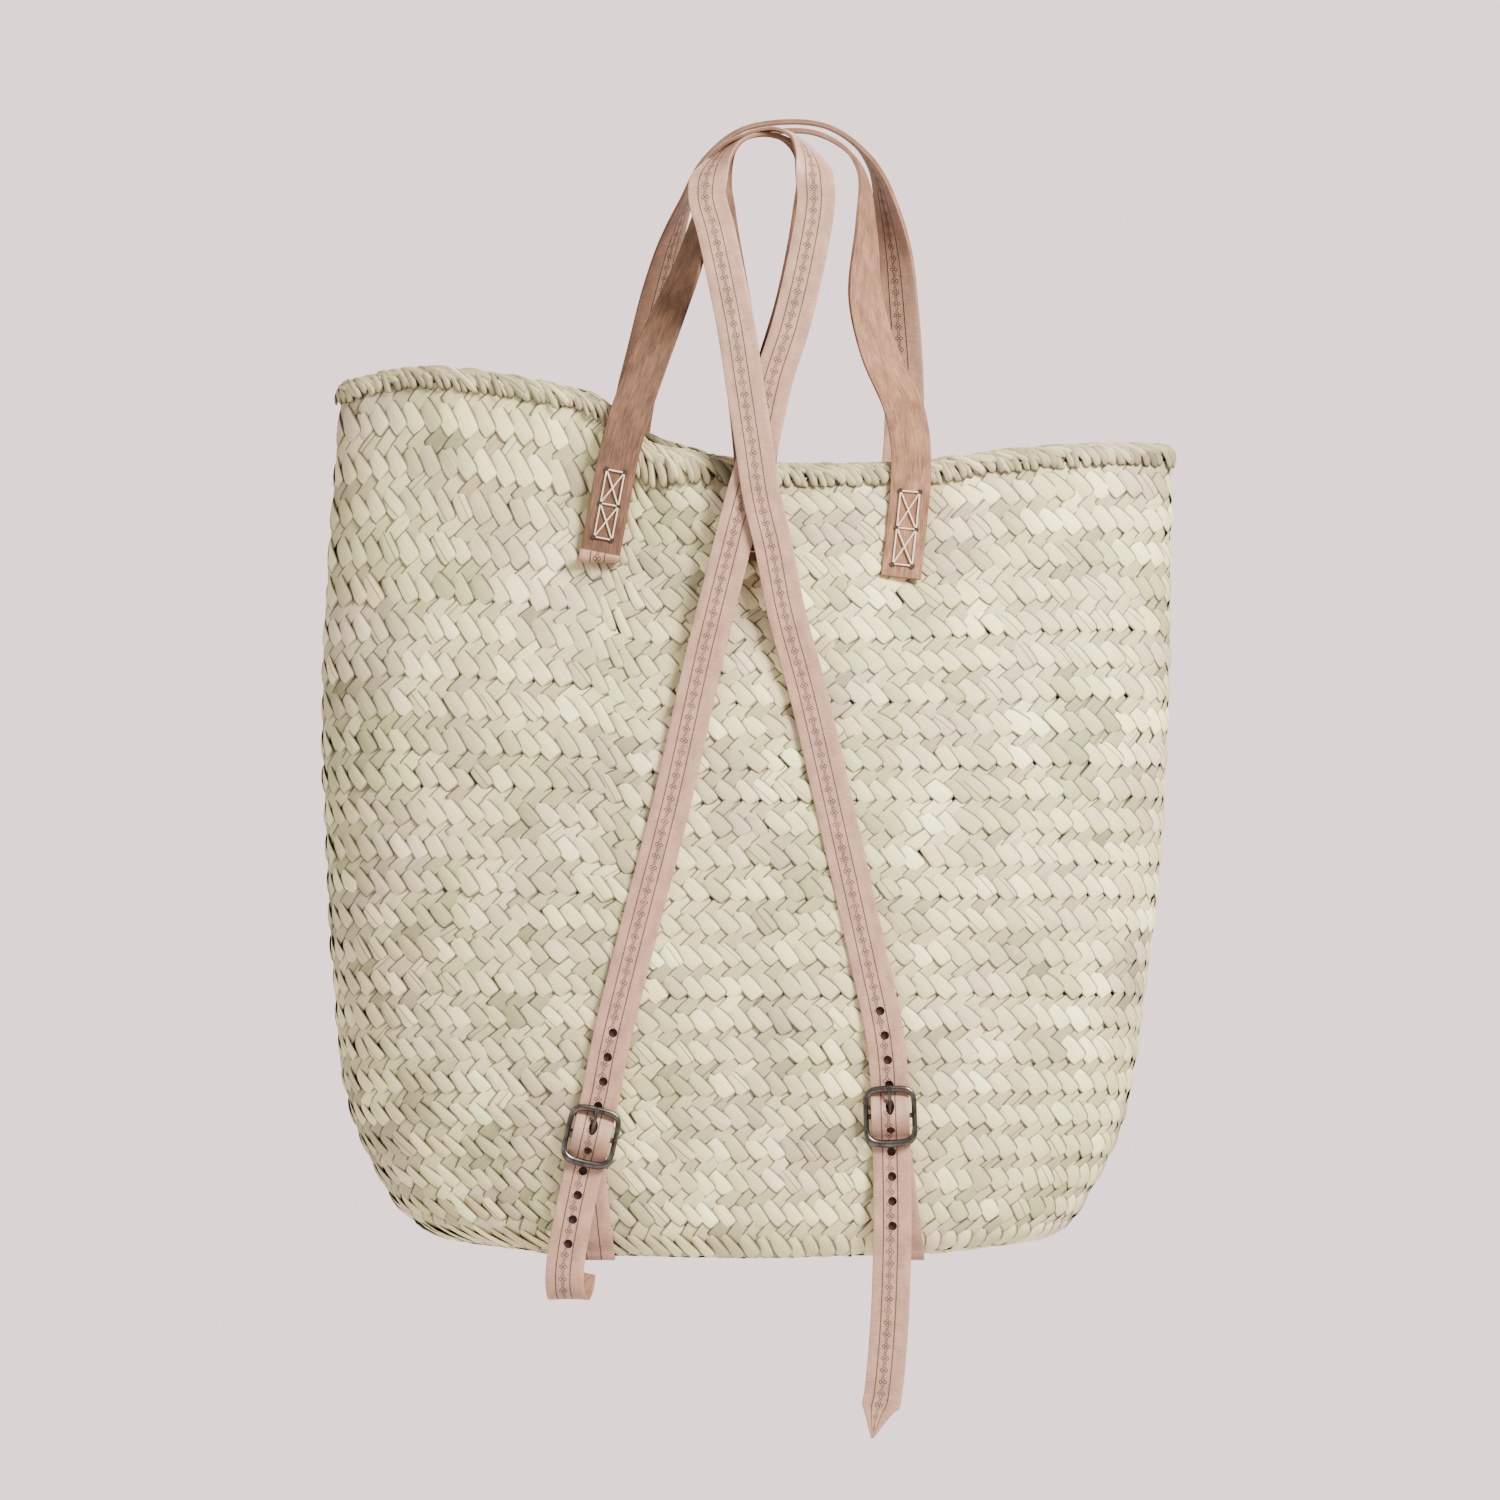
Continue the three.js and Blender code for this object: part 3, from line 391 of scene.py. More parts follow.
# Clearances of touching pieces, as in the frame
GAP = 0.3 * MM
LEATHER_GAP = 0.6 * MM

# Distance between the hand straps at the top, radius of the shoulder straps' bends, how far these clear the
# hand straps, and length of a tab under the base
HANDLE_BACK_STEP = 14 * MM
STRAP_BEND = 15 * MM
TURN_CLEAR = 10 * MM
TAB_LAP = 24 * MM

# Stops of the hand straps: across as a share of the width, level, share of the way from the hanging point out
# to the wall, and degrees that the width is turned. level counts down from the hanging point: 1 at the rim, 2
# at the base. The near strap's first rows are its curled lip, as long as NEAR_LIP.
NEAR_LIP = 0.0148
NEAR_HANDLE = (
    (-0.2062, 1.118, 1.18, 0),
    (-0.2076, 1.1255, 1.16, 0),
    (-0.2081, 1.1285, 1.08, 0),
    (-0.2072, 1.1237, 1.01, 0),
    (-0.205, 1.111, 1, 0),
    (-0.194, 1.05, 1, 0),
    (-0.184, 0.99, 1, 0),
    (-0.173, 0.88, 1, 4),
    (-0.152, 0.722, 0.8, 14),
    (-0.128, 0.5625, 0.6, 30),
    (-0.102, 0.39, 0.4, 48),
    (-0.084, 0.22, 0.2, 68),
    (-0.064, 0.09, 0.06, 84),
    (-0.036, -0.003, 0, 90),
    (0.01, -0.026, 0, 90),
    (0.05, -0.018, 0, 90),
    (0.086, 0.036, 0, 92),
    (0.104, 0.115, 0.08, 98),
    (0.108, 0.28, 0.28, 118),
    (0.107, 0.5, 0.52, 146),
    (0.124, 0.675, 0.75, 164),
    (0.15, 0.83, 0.95, 174),
    (0.159, 0.94, 1, 180),
    (0.16, 1.025, 1, 180),
    (0.155, 1.085, 1, 180),
    (0.148, 1.15, 1, 180),
)
FAR_HANDLE = (
    (-0.192, 1.12, 1, 180),
    (-0.184, 1.05, 1, 180),
    (-0.176, 0.97, 1, 180),
    (-0.166, 0.8, 0.92, 176),
    (-0.152, 0.64, 0.72, 162),
    (-0.139, 0.48, 0.52, 146),
    (-0.124, 0.32, 0.32, 124),
    (-0.105, 0.18, 0.14, 102),
    (-0.085, 0.066, 0.03, 92),
    (-0.042, -0.03, 0, 90),
    (0.015, -0.058, 0, 90),
    (0.063, -0.042, 0, 90),
    (0.1, 0.022, 0, 88),
    (0.121, 0.1, 0.1, 76),
    (0.134, 0.22, 0.26, 54),
    (0.143, 0.36, 0.44, 32),
    (0.148, 0.52, 0.62, 18),
    (0.153, 0.72, 0.84, 6),
    (0.154, 0.9, 1, 0),
    (0.15, 1.02, 1, 0),
    (0.146, 1.13, 1, 0),
)

# Places of the buckles, with the slant of the strap in degrees, and of the tabs' feet on the base edge
BUCKLE_SEATS = {
    "left": {"across": -0.216, "level": 1.8485, "lean": -13},
    "right": {"across": 0.135, "level": 1.8232, "lean": 2},
}
TAB_FEET = {"left": -0.211, "right": 0.153}

# Shoulder straps: rising strand (across, level), the turn at the top (across, level, share of the way
# forwards, degrees that the width is turned), falling strand (across, level, straps underneath) and tail
# below the buckle (across, level, share of the bend behind, shares of the two edges).
STRAP_ROUTES = {
    "left": {
        "seat_layer": 1,
        "rise": ((-0.024, 1.13), (-0.024, 1.04), (-0.034, 0.8), (-0.052, 0.5), (-0.068, 0.25)),
        "top": ((-0.071, 0.14, 0.05, 30), (-0.057, 0.04, 0.15, 62), (-0.03, -0.01, 0.25, 86),
                (0.0, -0.024, 0.35, 90), (0.026, 0.006, 0.5, 78), (0.041, 0.07, 0.75, 46)),
        "fall": ((0.047, 0.14, 0), (0.048, 0.206, 0), (0.038, 0.37, 0), (0.018, 0.594, 0), (-0.001, 0.75, 0),
                 (-0.021, 0.988, 0), (-0.036, 1.05, 0), (-0.053, 1.12, 0), (-0.082, 1.244, 0),
                 (-0.121, 1.429, 0), (-0.167, 1.619, 0), (-0.194, 1.737, 0)),
        "tail": ((-0.239, 1.961, 0, -1, 1), (-0.246, 2.006, 0.03, -1, 1), (-0.2475, 2.034, 0.12, -1, 1),
                 (-0.245, 2.05, 0.42, -1, 1), (-0.24, 2.05, 0.85, -1, 1), (-0.235, 2.036, 1.15, -1, 1),
                 (-0.231, 2.02, 1.3, 0.25, 0.9)),
    },
    "right": {
        "seat_layer": 0,
        "rise": ((-0.024, 1.13), (-0.024, 1.04), (-0.008, 0.8), (0.024, 0.5), (0.042, 0.25)),
        "top": ((0.045, 0.14, 0.05, -30), (0.034, 0.055, 0.15, -62), (0.012, 0.006, 0.25, -86),
                (-0.016, -0.008, 0.35, -90), (-0.047, 0.02, 0.5, -78), (-0.07, 0.085, 0.75, -46)),
        "fall": ((-0.079, 0.145, 0), (-0.08, 0.19, 0), (-0.07, 0.29, 0), (-0.057, 0.447, 0.5),
                 (-0.046, 0.594, 1), (-0.037, 0.75, 1.2), (-0.026, 0.941, 1.2), (-0.015, 1.053, 1.2),
                 (-0.002, 1.111, 1.2), (0.012, 1.189, 1), (0.038, 1.292, 0.4), (0.068, 1.429, 0),
                 (0.108, 1.619, 0), (0.128, 1.72, 0)),
        "tail": ((0.1375, 1.981, 0, -1, 1), (0.133, 2.102, 0.1, -1, 1), (0.1255, 2.18, 0.2, -1, 1),
                 (0.1235, 2.187, 0.21, -1, 1), (0.119, 2.228, 0.25, -0.3, -0.15)),
    },
}


def height_at(level):
    size = basket()
    return -level * size.drop if level < 1 else -size.drop - (level - 1) * size.height


def stop(at, across=(1, 0, 0), low=-1.0, high=1.0):
    return SimpleNamespace(at=Vector(at), across=Vector(across), low=low, high=high)


class Route:
    """A smooth line through stops, on which flat leather is laid by its length."""

    PER_SPAN = 20

    def __init__(self, stops):
        points = np.array([item.at for item in stops])
        before = 2 * points[0] - points[1]
        after = 2 * points[-1] - points[-2]
        padded = np.vstack([before, points, after])
        knots = np.linalg.norm(np.diff(padded, axis=0), axis=1) ** 0.5
        places = []
        for span in range(len(points) - 1):
            p0, p1, p2, p3 = padded[span:span + 4]
            d0, d1, d2 = knots[span:span + 3]
            start = ((p1 - p0) / d0 - (p2 - p0) / (d0 + d1) + (p2 - p1) / d1) * d1
            end = ((p2 - p1) / d1 - (p3 - p1) / (d1 + d2) + (p3 - p2) / d2) * d1
            last = span == len(points) - 2
            t = np.linspace(0, 1, self.PER_SPAN + 1)[:None if last else -1, None]
            places.append(p1 + start * t + (3 * (p2 - p1) - 2 * start - end) * t ** 2
                          + (2 * (p1 - p2) + start + end) * t ** 3)
        self.at = np.vstack(places)
        part = np.linspace(0, len(points) - 1, len(self.at))
        column = lambda values: np.interp(part, np.arange(len(points)), values)
        tangent = np.gradient(self.at, axis=0)
        tangent /= np.linalg.norm(tangent, axis=1, keepdims=True)
        across = np.stack([column([item.across[k] for item in stops]) for k in range(3)], axis=1)
        across -= tangent * np.sum(across * tangent, axis=1, keepdims=True)
        self.across = across / np.linalg.norm(across, axis=1, keepdims=True)
        self.facing = np.cross(tangent, self.across)
        self.low = column([item.low for item in stops])
        self.high = column([item.high for item in stops])
        self.lengths = np.concatenate([[0], np.cumsum(np.linalg.norm(np.diff(self.at, axis=0), axis=1))])

    @property
    def length(self):
        return float(self.lengths[-1])

    def nearest(self, place):
        """Length along the route of the point nearest to a place."""
        return float(self.lengths[np.argmin(np.linalg.norm(self.at - np.array(place), axis=1))])

    def lay(self, piece, width):
        """Lays a flat piece (x across, y along, z out of the grain side) along the route."""
        flat = coordinates(piece)
        value = lambda values: np.interp(flat[:, 1], self.lengths, values)
        vector = lambda values: np.stack([value(values[:, k]) for k in range(3)], axis=1)
        edge = (flat[:, 0] / (width / 2) + 1) / 2
        low = value(self.low)
        x = (low + (value(self.high) - low) * edge) * width / 2
        beyond = np.clip(flat[:, 1] - self.length, 0, None) + np.clip(flat[:, 1], None, 0)
        tangent = np.cross(vector(self.across), vector(self.facing))
        set_coordinates(piece, vector(self.at) + vector(self.across) * x[:, None]
                        + vector(self.facing) * flat[:, 2:3] + tangent * beyond[:, None])


def handle_route(rows, side):
    size = basket()
    straps = leather()
    ledge = (size.rim_width - size.wall) / 2
    clear = LEATHER_GAP + straps.handle_thick / 2 + ledge
    stops = []
    for across, level, out, turn in rows:
        x = across * size.width
        z = height_at(level)
        wall = proud_y(x, min(z, height_at(0.9)), straps.handle_width, side) + side * clear
        seated = side * ledge if level > 1.08 else 0
        y = side * HANDLE_BACK_STEP / 2 * (1 - out) + (wall - seated) * out
        angle = math.radians(turn)
        stops.append(stop((x, y, z), (math.cos(angle), -math.sin(angle), 0)))
    return Route(stops)


def layers():
    """Heights of the layers above a buckle's seat."""
    straps = leather()
    metal = buckles()
    tab = GAP + straps.tab_thick / 2
    loop = metal.centre_bar / 2 + GAP + straps.tab_thick / 2
    centre = tab + loop + straps.tab_thick / 2 + GAP
    over = centre + loop + straps.tab_thick / 2 + GAP + straps.strap_thick / 2
    under = tab + straps.tab_thick / 2 + GAP + straps.strap_thick / 2
    frame_layer = max(under + straps.strap_thick / 2 + GAP + metal.bar / 2, centre + metal.centre_bar / 2)
    return SimpleNamespace(tab=tab, loop=loop, centre=centre, over=over, under=under, frame=frame_layer,
                           bar_place=metal.height / 2 - metal.bar / 2)


class Seat:
    """A flat place that just clears the wall behind a buckle."""

    def __init__(self, across, level, lean):
        size = basket()
        metal = buckles()
        x = across * size.width
        z = height_at(level)
        reach = metal.height * 0.6
        upper = proud_y(x, z + reach, metal.width, -1)
        lower = proud_y(x, z - reach, metal.width, -1)
        pitch = Vector((0, upper - lower, 2 * reach)).normalized()
        slant = math.radians(lean)
        self.along = (pitch * math.cos(slant) + Vector((-math.sin(slant), 0, 0))).normalized()
        self.sideways = (Vector((1, 0, 0)) - self.along * self.along.x).normalized()
        self.outward = self.sideways.cross(self.along)
        if self.outward.y > 0:
            self.outward.negate()
        proud = []
        for step in range(-4, 5):
            up = step / 4 * reach
            wall = Vector((0, proud_y(x, z + up, metal.width * 1.2, -1), up))
            proud.append(wall.dot(self.outward) / -self.outward.y)
        self.origin = Vector((x, -max(proud), z))

    def at(self, sideways, up, out):
        return self.origin + self.sideways * sideways + self.along * up + self.outward * out

    def stop_at(self, up, out):
        return stop(self.at(0, up, out), self.sideways)

    def matrix(self, out):
        turn = Matrix((self.sideways, self.along, self.outward)).transposed().to_4x4()
        return Matrix.Translation(self.at(0, 0, out)) @ turn


def strap_route(name):
    size = basket()
    straps = leather()
    metal = buckles()
    level = layers()
    row = STRAP_ROUTES[name]
    seat = Seat(**BUCKLE_SEATS[name])
    stack = straps.strap_thick + 2 * GAP
    near_edge = -HANDLE_BACK_STEP / 2 - straps.handle_width / 2
    rise_top = near_edge - TURN_CLEAR - 2 * row["seat_layer"] * stack
    fall_top = near_edge - TURN_CLEAR - 2 * STRAP_BEND
    anchor = row["rise"][0][0] * size.width
    last_level = row["rise"][-1][1]
    stops = []
    for across, at_level in row["rise"]:
        z = height_at(at_level)
        on_wall = proud_y(anchor, min(z, height_at(1)), 2 * straps.strap_width, -1)
        ledge = 0 if at_level > 1.1 else (size.rim_width - size.wall) / 2
        wall = on_wall - LEATHER_GAP - straps.strap_thick / 2 - row["seat_layer"] * stack - ledge
        up = min(1, max(0, (1 - at_level) / (1 - last_level)))
        stops.append(stop((across * size.width, wall + (rise_top - wall) * up, z)))
    for across, at_level, forwards, turn in row["top"]:
        place = (across * size.width, rise_top + (fall_top - rise_top) * forwards, height_at(at_level))
        angle = math.radians(turn)
        stops.append(stop(place, (math.cos(angle), math.sin(angle), 0)))
    contact = seat.at(0, metal.height, level.under)
    for across, at_level, layer in row["fall"]:
        x = across * size.width
        z = height_at(at_level)
        straight = fall_top + (contact.y - fall_top) * z / contact.z
        wall = proud_y(x, z, straps.strap_width, -1) - LEATHER_GAP - straps.strap_thick / 2
        stops.append(stop((x, min(straight, wall) - layer * stack, z)))
    shoulder = level.under + (level.over - level.under) * 0.72
    bar = level.bar_place
    for up, out in ((metal.height * 0.72, level.under), (bar + metal.bar / 2, level.under),
                    (bar - metal.bar * 0.7, level.under), (bar * 0.36, shoulder), (0, level.over),
                    (-bar * 0.36, shoulder), (-bar + metal.bar * 0.7, level.under),
                    (-bar - metal.bar / 2, level.under), (-metal.height * 0.72, level.under)):
        stops.append(seat.stop_at(up, out))
    last_y = stops[-1].at.y
    for across, at_level, back, low, high in row["tail"]:
        place = (across * size.width, last_y + back * STRAP_BEND, height_at(at_level))
        stops.append(stop(place, (1, 0, 0), low, high))
    return Route(stops), seat


def tab_route(name):
    size = basket()
    straps = leather()
    level = layers()
    seat = Seat(**BUCKLE_SEATS[name])
    loop = level.loop
    stops = []
    for up, out in ((-level.bar_place * 0.5, level.tab + straps.tab_thick + 2 * GAP),
                    (-loop * 0.9, level.centre + loop * 0.62), (loop * 0.1, level.centre + loop),
                    (loop * 0.75, level.centre + loop * 0.66), (loop, level.centre),
                    (loop * 0.75, level.centre - loop * 0.66), (loop * 0.1, level.centre - loop),
                    (-level.bar_place * 0.6, level.tab), (-level.bar_place, level.tab)):
        stops.append(seat.stop_at(up, out))
    foot = TAB_FEET[name] * size.width
    start = stops[-1].at
    edge = height_at(2)
    line = []
    for part in (0.35, 0.6, 0.8, 0.92, 1):
        x = start.x + (foot - start.x) * part
        z = start.z + (edge - start.z) * part
        line.append(Vector((x, proud_y(x, z, straps.strap_width, -1), z)))
    for part in (0.25, 0.6, 1):
        line.append(Vector((foot, line[4].y + part * TAB_LAP, edge)))
    for k, point in enumerate(line):
        way = line[min(len(line) - 1, k + 1)] - line[max(0, k - 1)]
        way.x = 0
        way.normalize()
        stops.append(stop(point + Vector((0, way.z, -way.y)) * level.tab))
    return Route(stops), seat


# Tools of the workbench

def select_only(piece):
    bpy.ops.object.select_all(action="DESELECT")
    piece.select_set(True)
    bpy.context.view_layer.objects.active = piece


def apply_modifier(piece, kind, **settings):
    select_only(piece)
    modifier = piece.modifiers.new(kind.title(), kind)
    for name, value in settings.items():
        setattr(modifier, name, value)
    bpy.ops.object.modifier_apply(modifier=modifier.name)


def apply_transform():
    bpy.ops.object.transform_apply(location=True, rotation=True, scale=True)


def cylinder(sides, radius, depth, place, rotation=(0, 0, 0), scale=(1, 1, 1)):
    bpy.ops.mesh.primitive_cylinder_add(vertices=sides, radius=radius, depth=depth, location=place,
                                        rotation=rotation)
    piece = bpy.context.active_object
    piece.scale = scale
    apply_transform()
    return piece


def join(pieces):
    bpy.ops.object.select_all(action="DESELECT")
    for piece in pieces:
        piece.select_set(True)
    bpy.context.view_layer.objects.active = pieces[0]
    bpy.ops.object.join()
    return pieces[0]


def cut(piece, tool):
    """Takes the tool's shape out of a piece, and removes the tool."""
    apply_modifier(piece, "BOOLEAN", operation="DIFFERENCE", object=tool, solver="EXACT")
    bpy.data.objects.remove(tool)


def coordinates(piece):
    places = np.empty(len(piece.data.vertices) * 3)
    piece.data.vertices.foreach_get("co", places)
    return places.reshape(-1, 3)


def set_coordinates(piece, places):
    piece.data.vertices.foreach_set("co", np.ascontiguousarray(places, dtype=float).ravel())
    piece.data.update()


def settle(piece, name, material, slot, *nodes):
    """Names a finished piece, gives it its material and ties it to the frame."""
    piece.name = name
    piece.data.name = name
    piece.data.materials.clear()
    piece.data.materials.append(material)
    select_only(piece)
    bpy.ops.object.shade_smooth_by_angle(angle=math.radians(50))
    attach(piece, "root")
    if nodes:
        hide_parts(*nodes)


def point_attribute(piece, name, kind, values):
    attribute = piece.data.attributes.new(name, kind, "POINT")
    field = "color" if kind == "FLOAT_COLOR" else "value"
    attribute.data.foreach_set(field, np.ascontiguousarray(values, dtype=np.float32).ravel())


def uv_from_points(piece, uv):
    """Writes one UV pair for each vertex into the piece's UV map."""
    layer = piece.data.uv_layers.get("UVMap") or piece.data.uv_layers.new(name="UVMap")
    corners = np.empty(len(piece.data.loops), dtype=np.int32)
    piece.data.loops.foreach_get("vertex_index", corners)
    layer.data.foreach_set("uv", np.ascontiguousarray(uv[corners], dtype=np.float32).ravel())


# Materials

class Nodes:
    """A short way to write a node material."""

    def __init__(self, name):
        self.material = bpy.data.materials.new(name)
        self.material.use_nodes = True
        self.tree = self.material.node_tree
        self.shader = self.tree.nodes["Principled BSDF"]

    def add(self, kind, inputs=None, **settings):
        node = self.tree.nodes.new(kind)
        for name, value in settings.items():
            setattr(node, name, value)
        for name, value in (inputs or {}).items():
            self.put(node, name, value)
        return node

    def put(self, node, name, value):
        if isinstance(value, bpy.types.NodeSocket):
            self.tree.links.new(value, node.inputs[name])
        else:
            node.inputs[name].default_value = value

    def math(self, operation, first, second=0.0):
        node = self.add("ShaderNodeMath", operation=operation)
        self.put(node, 0, first)
        self.put(node, 1, second)
        return node.outputs[0]

    def times(self, first, second):
        return self.math("MULTIPLY", first, second)

    def plus(self, first, second):
        return self.math("ADD", first, second)

    def minus(self, first, second):
        return self.math("SUBTRACT", first, second)

    def apart(self, first, second=0.0):
        return self.math("ABSOLUTE", self.minus(first, second))

    def mix(self, factor, first, second, blend="MIX"):
        node = self.add("ShaderNodeMix", data_type="RGBA", blend_type=blend)
        self.put(node, 0, factor)
        self.put(node, 6, first)
        self.put(node, 7, second)
        return node.outputs[2]

    def ramp(self, value, low, high, from_value=0.0, to_value=1.0):
        node = self.add("ShaderNodeMapRange", {"Value": value, "From Min": low, "From Max": high,
                                               "To Min": from_value, "To Max": to_value})
        return node.outputs[0]

    def noise(self, vector, scale, detail=2.0, rough=0.5):
        node = self.add("ShaderNodeTexNoise", {"Vector": vector, "Scale": scale, "Detail": detail,
                                               "Roughness": rough})
        return node.outputs["Fac"]

    def stretched(self, vector, x, y, detail, rough):
        """Noise over a vector whose first two parts are scaled by x and y."""
        node = self.add("ShaderNodeMapping", {"Vector": vector, "Scale": (x, y, 1)})
        return self.noise(node.outputs[0], 1.0, detail, rough)

    def place(self):
        return self.add("ShaderNodeTexCoord").outputs["Object"]

    def toned(self, color, tone):
        """A colour times a grey value."""
        grey = self.add("ShaderNodeCombineColor", {0: tone, 1: tone, 2: tone}).outputs[0]
        return self.mix(1.0, color, grey, "MULTIPLY")

    def bump(self, height, strength, distance):
        node = self.add("ShaderNodeBump", {"Height": height, "Strength": strength, "Distance": distance})
        return node.outputs[0]

    def finish(self, color, roughness, normal=None, **even):
        self.put(self.shader, "Base Color", color)
        self.put(self.shader, "Roughness", roughness)
        if normal is not None:
            self.put(self.shader, "Normal", normal)
        for name, value in even.items():
            self.shader.inputs[name.replace("_", " ")].default_value = value
        return self.material


def rgba(color, tone=1.0):
    return (*(value * tone for value in color), 1.0)


# Share of the leaves that have a lengthwise crack
CRACKED = 0.1
# How far the leaves' own fibres are spread out in the noise
FIBRE_SPREAD = 300.0


def leaf_material(name, tone):
    """Dry palm leaf: each leaf's own colour and lengthwise fibres, painted shade along the edges and the
    lower end, and some cracks.
    """
    n = Nodes(name)
    tint = n.add("ShaderNodeAttribute", attribute_name="leaf_tint").outputs["Color"]
    uv = n.add("ShaderNodeUVMap", uv_map="UVMap").outputs[0]
    parts = n.add("ShaderNodeSeparateXYZ", {"Vector": uv})
    across = parts.outputs[0]
    up = parts.outputs[1]
    chance = n.add("ShaderNodeAttribute", attribute_name="leaf_chance").outputs["Fac"]
    own = n.add("ShaderNodeCombineXYZ", {0: across, 1: up, 2: n.times(chance, FIBRE_SPREAD)}).outputs[0]
    fibres = n.stretched(own, 26, 1.2, 3.0, 0.6)
    fine = n.stretched(own, 70, 2.5, 2.0, 0.6)
    streaks = n.plus(n.ramp(fibres, 0.25, 0.75, 0.82, 1.2), n.ramp(fine, 0.3, 0.7, -0.08, 0.08))
    blotches = n.ramp(n.noise(n.place(), 55, 3.0, 0.6), 0.3, 0.7, 0.93, 1.06)
    # Painted shade: a dark line along the leaf's sides and lower end, where neighbouring leaves overlap it
    end = n.ramp(up, 0.02, 0.1, 0.3, 1.0)
    edge = n.times(n.ramp(n.apart(across, 0.5), 0.37, 0.455, 1.0, 0.16), end)
    torn = n.ramp(chance, 1 - CRACKED, 1 - CRACKED + 0.005)
    # Puts the cracks from a quarter to three quarters of the width
    crack_at = n.plus(n.times(chance, 5.0), -4.25)
    crack = n.times(n.ramp(n.apart(across, crack_at), 0.015, 0.045, 0.7, 0.0), torn)
    edge = n.times(edge, n.minus(1.0, crack))
    color = n.toned(tint, n.times(n.times(streaks, blotches), n.times(edge, tone)))
    roughness = n.ramp(fibres, 0.3, 0.7, 0.62, 0.48)
    normal = n.bump(n.plus(fibres, n.times(fine, 0.5)), 0.35, 0.0004)
    return n.finish(color, roughness, normal, Specular_IOR_Level=0.35)


def painted_gap_shade_material():
    """Painted shade seen between the leaves, on a dark sheet behind them."""
    n = Nodes("painted gap shade")
    noise = n.noise(n.place(), 180, 3.0, 0.6)
    # Painted shade of the gaps between the leaves
    dark = basket().gap
    color = n.mix(n.ramp(noise, 0.3, 0.7), rgba(dark), rgba(dark, 1.9))
    return n.finish(color, 0.9, n.bump(noise, 0.4, 0.0006), Specular_IOR_Level=0.15)


# Woven leaves

# Rows of one leaf from its lower end (0) to its upper end (1): share of the length, width and lift in mm.
# pitch is the cell of the braid that a leaf stands in, along the row and up.
SLANT_LEAF = {
    "across": 4,
    "length": 0.0158,
    "width": 0.0086,
    "turn": 41.0,
    "centre": (0.0, 0.30),
    "pitch": (0.00915, 0.0166),
    "crown": 0.00055,
    "uneven": 1.0,
    "tilt": 0.00038,
    "rows": ((0.0, 0.5, -0.5), (0.035, 0.76, 0.35), (0.1, 0.92, 0.85), (0.24, 1.0, 1.15), (0.5, 1.0, 1.1),
             (0.72, 0.97, 0.7), (0.88, 0.86, 0.1), (1.0, 0.66, -0.7)),
}
CROSS_LEAF = {
    "across": 4,
    "length": 0.0160,
    "width": 0.0079,
    "turn": -48.0,
    "centre": (0.46, 0.79),
    "pitch": (0.00915, 0.0166),
    "crown": 0.0002,
    "uneven": 1.0,
    "tilt": -0.00022,
    "rows": ((0.0, 0.86, -0.2), (0.04, 0.95, 0.3), (0.2, 1.0, 0.55), (0.45, 1.0, 0.6), (0.7, 1.0, 0.4),
             (0.88, 0.97, 0.0), (1.0, 0.92, -0.6)),
}
RIM_STRAND = {
    "across": 4,
    "length": 0.0225,
    "width": 0.0031,
    "turn": 64.0,
    "centre": (0.0, 0.26),
    "pitch": (0.0047, 0.0195),
    "crown": 0.0009,
    "uneven": 2.0,
    "tilt": 0.0003,
    "rows": ((0.0, 0.45, -0.9), (0.06, 0.75, 0.0), (0.2, 1.0, 0.4), (0.4, 0.85, 0.5), (0.6, 1.05, 0.45),
             (0.8, 0.85, 0.15), (0.94, 0.8, -0.3), (1.0, 0.6, -0.9)),
}


# How unlike the leaves are: shares of width and length, angles of turn and lean, and metres of lift and shift
SCATTER = {"wide": 0.07, "long": 0.05, "turn": 0.065, "lean": 0.035, "lift": 0.0002, "shift": 0.0004}

# Runs of colour over the cream: usual share, gain of the waves, greatest share, and range of waves round
COLOUR_RUNS = {
    "green": {"usual": 0.26, "gain": 0.34, "most": 0.95, "waves": (2, 17)},
    "beige": {"usual": 0.14, "gain": 0.30, "most": 0.9, "waves": (2, 14)},
}

# Share of tan in the few leaves that have it, from least to most
TAN_SHARES = (0.25, 0.8)

# Waves of light and shade: gain, range of waves round, and how much faster they turn with height
SHADE = {"gain": 0.15, "waves": (3, 23), "up": 2.5}

# Differences between neighbouring leaves, in drift of colour and in brightness
COLOUR_JITTER = 0.5
BRIGHTNESS_JITTER = 0.13
# Painted light on the slanting leaves, which bulge outwards, and painted shade on the crossing leaves, which
# lie tucked beneath
SLANT_PAINTED_LIGHT = 1.17
CROSS_PAINTED_SHADE = 0.86


def leaf_blank(shape):
    """One leaf, lying flat: a grid whose rows are widened and lifted one by one."""
    rows = shape["rows"]
    bpy.ops.object.select_all(action="DESELECT")
    bpy.ops.mesh.primitive_grid_add(x_subdivisions=shape["across"], y_subdivisions=len(rows) - 1, size=1)
    leaf = bpy.context.active_object
    places = coordinates(leaf)
    line = np.rint((places[:, 1] + 0.5) * (len(rows) - 1)).astype(int)
    table = np.array(rows)
    across = places[:, 0] * 2
    places[:, 1] = (table[line, 0] - 0.5) * shape["length"]
    places[:, 0] = across * table[line, 1] * shape["width"] / 2
    places[:, 2] = table[line, 2] * MM + shape["crown"] * (1 - across ** 2) + shape["tilt"] * across
    uv = np.stack([across * 0.49 + 0.5, table[line, 0]], axis=-1)
    set_coordinates(leaf, places)
    uv_from_points(leaf, uv)
    return leaf


def waves(rng, along, up, low, high):
    """A slow random pattern of strength about 1 over the wall."""
    total = np.zeros(len(along))
    for _ in range(9):
        around = rng.integers(low, high)
        total += np.sin(2 * math.pi * (along * around + rng.random()) + up * rng.normal(0, 1.2))
    return total / 2.1


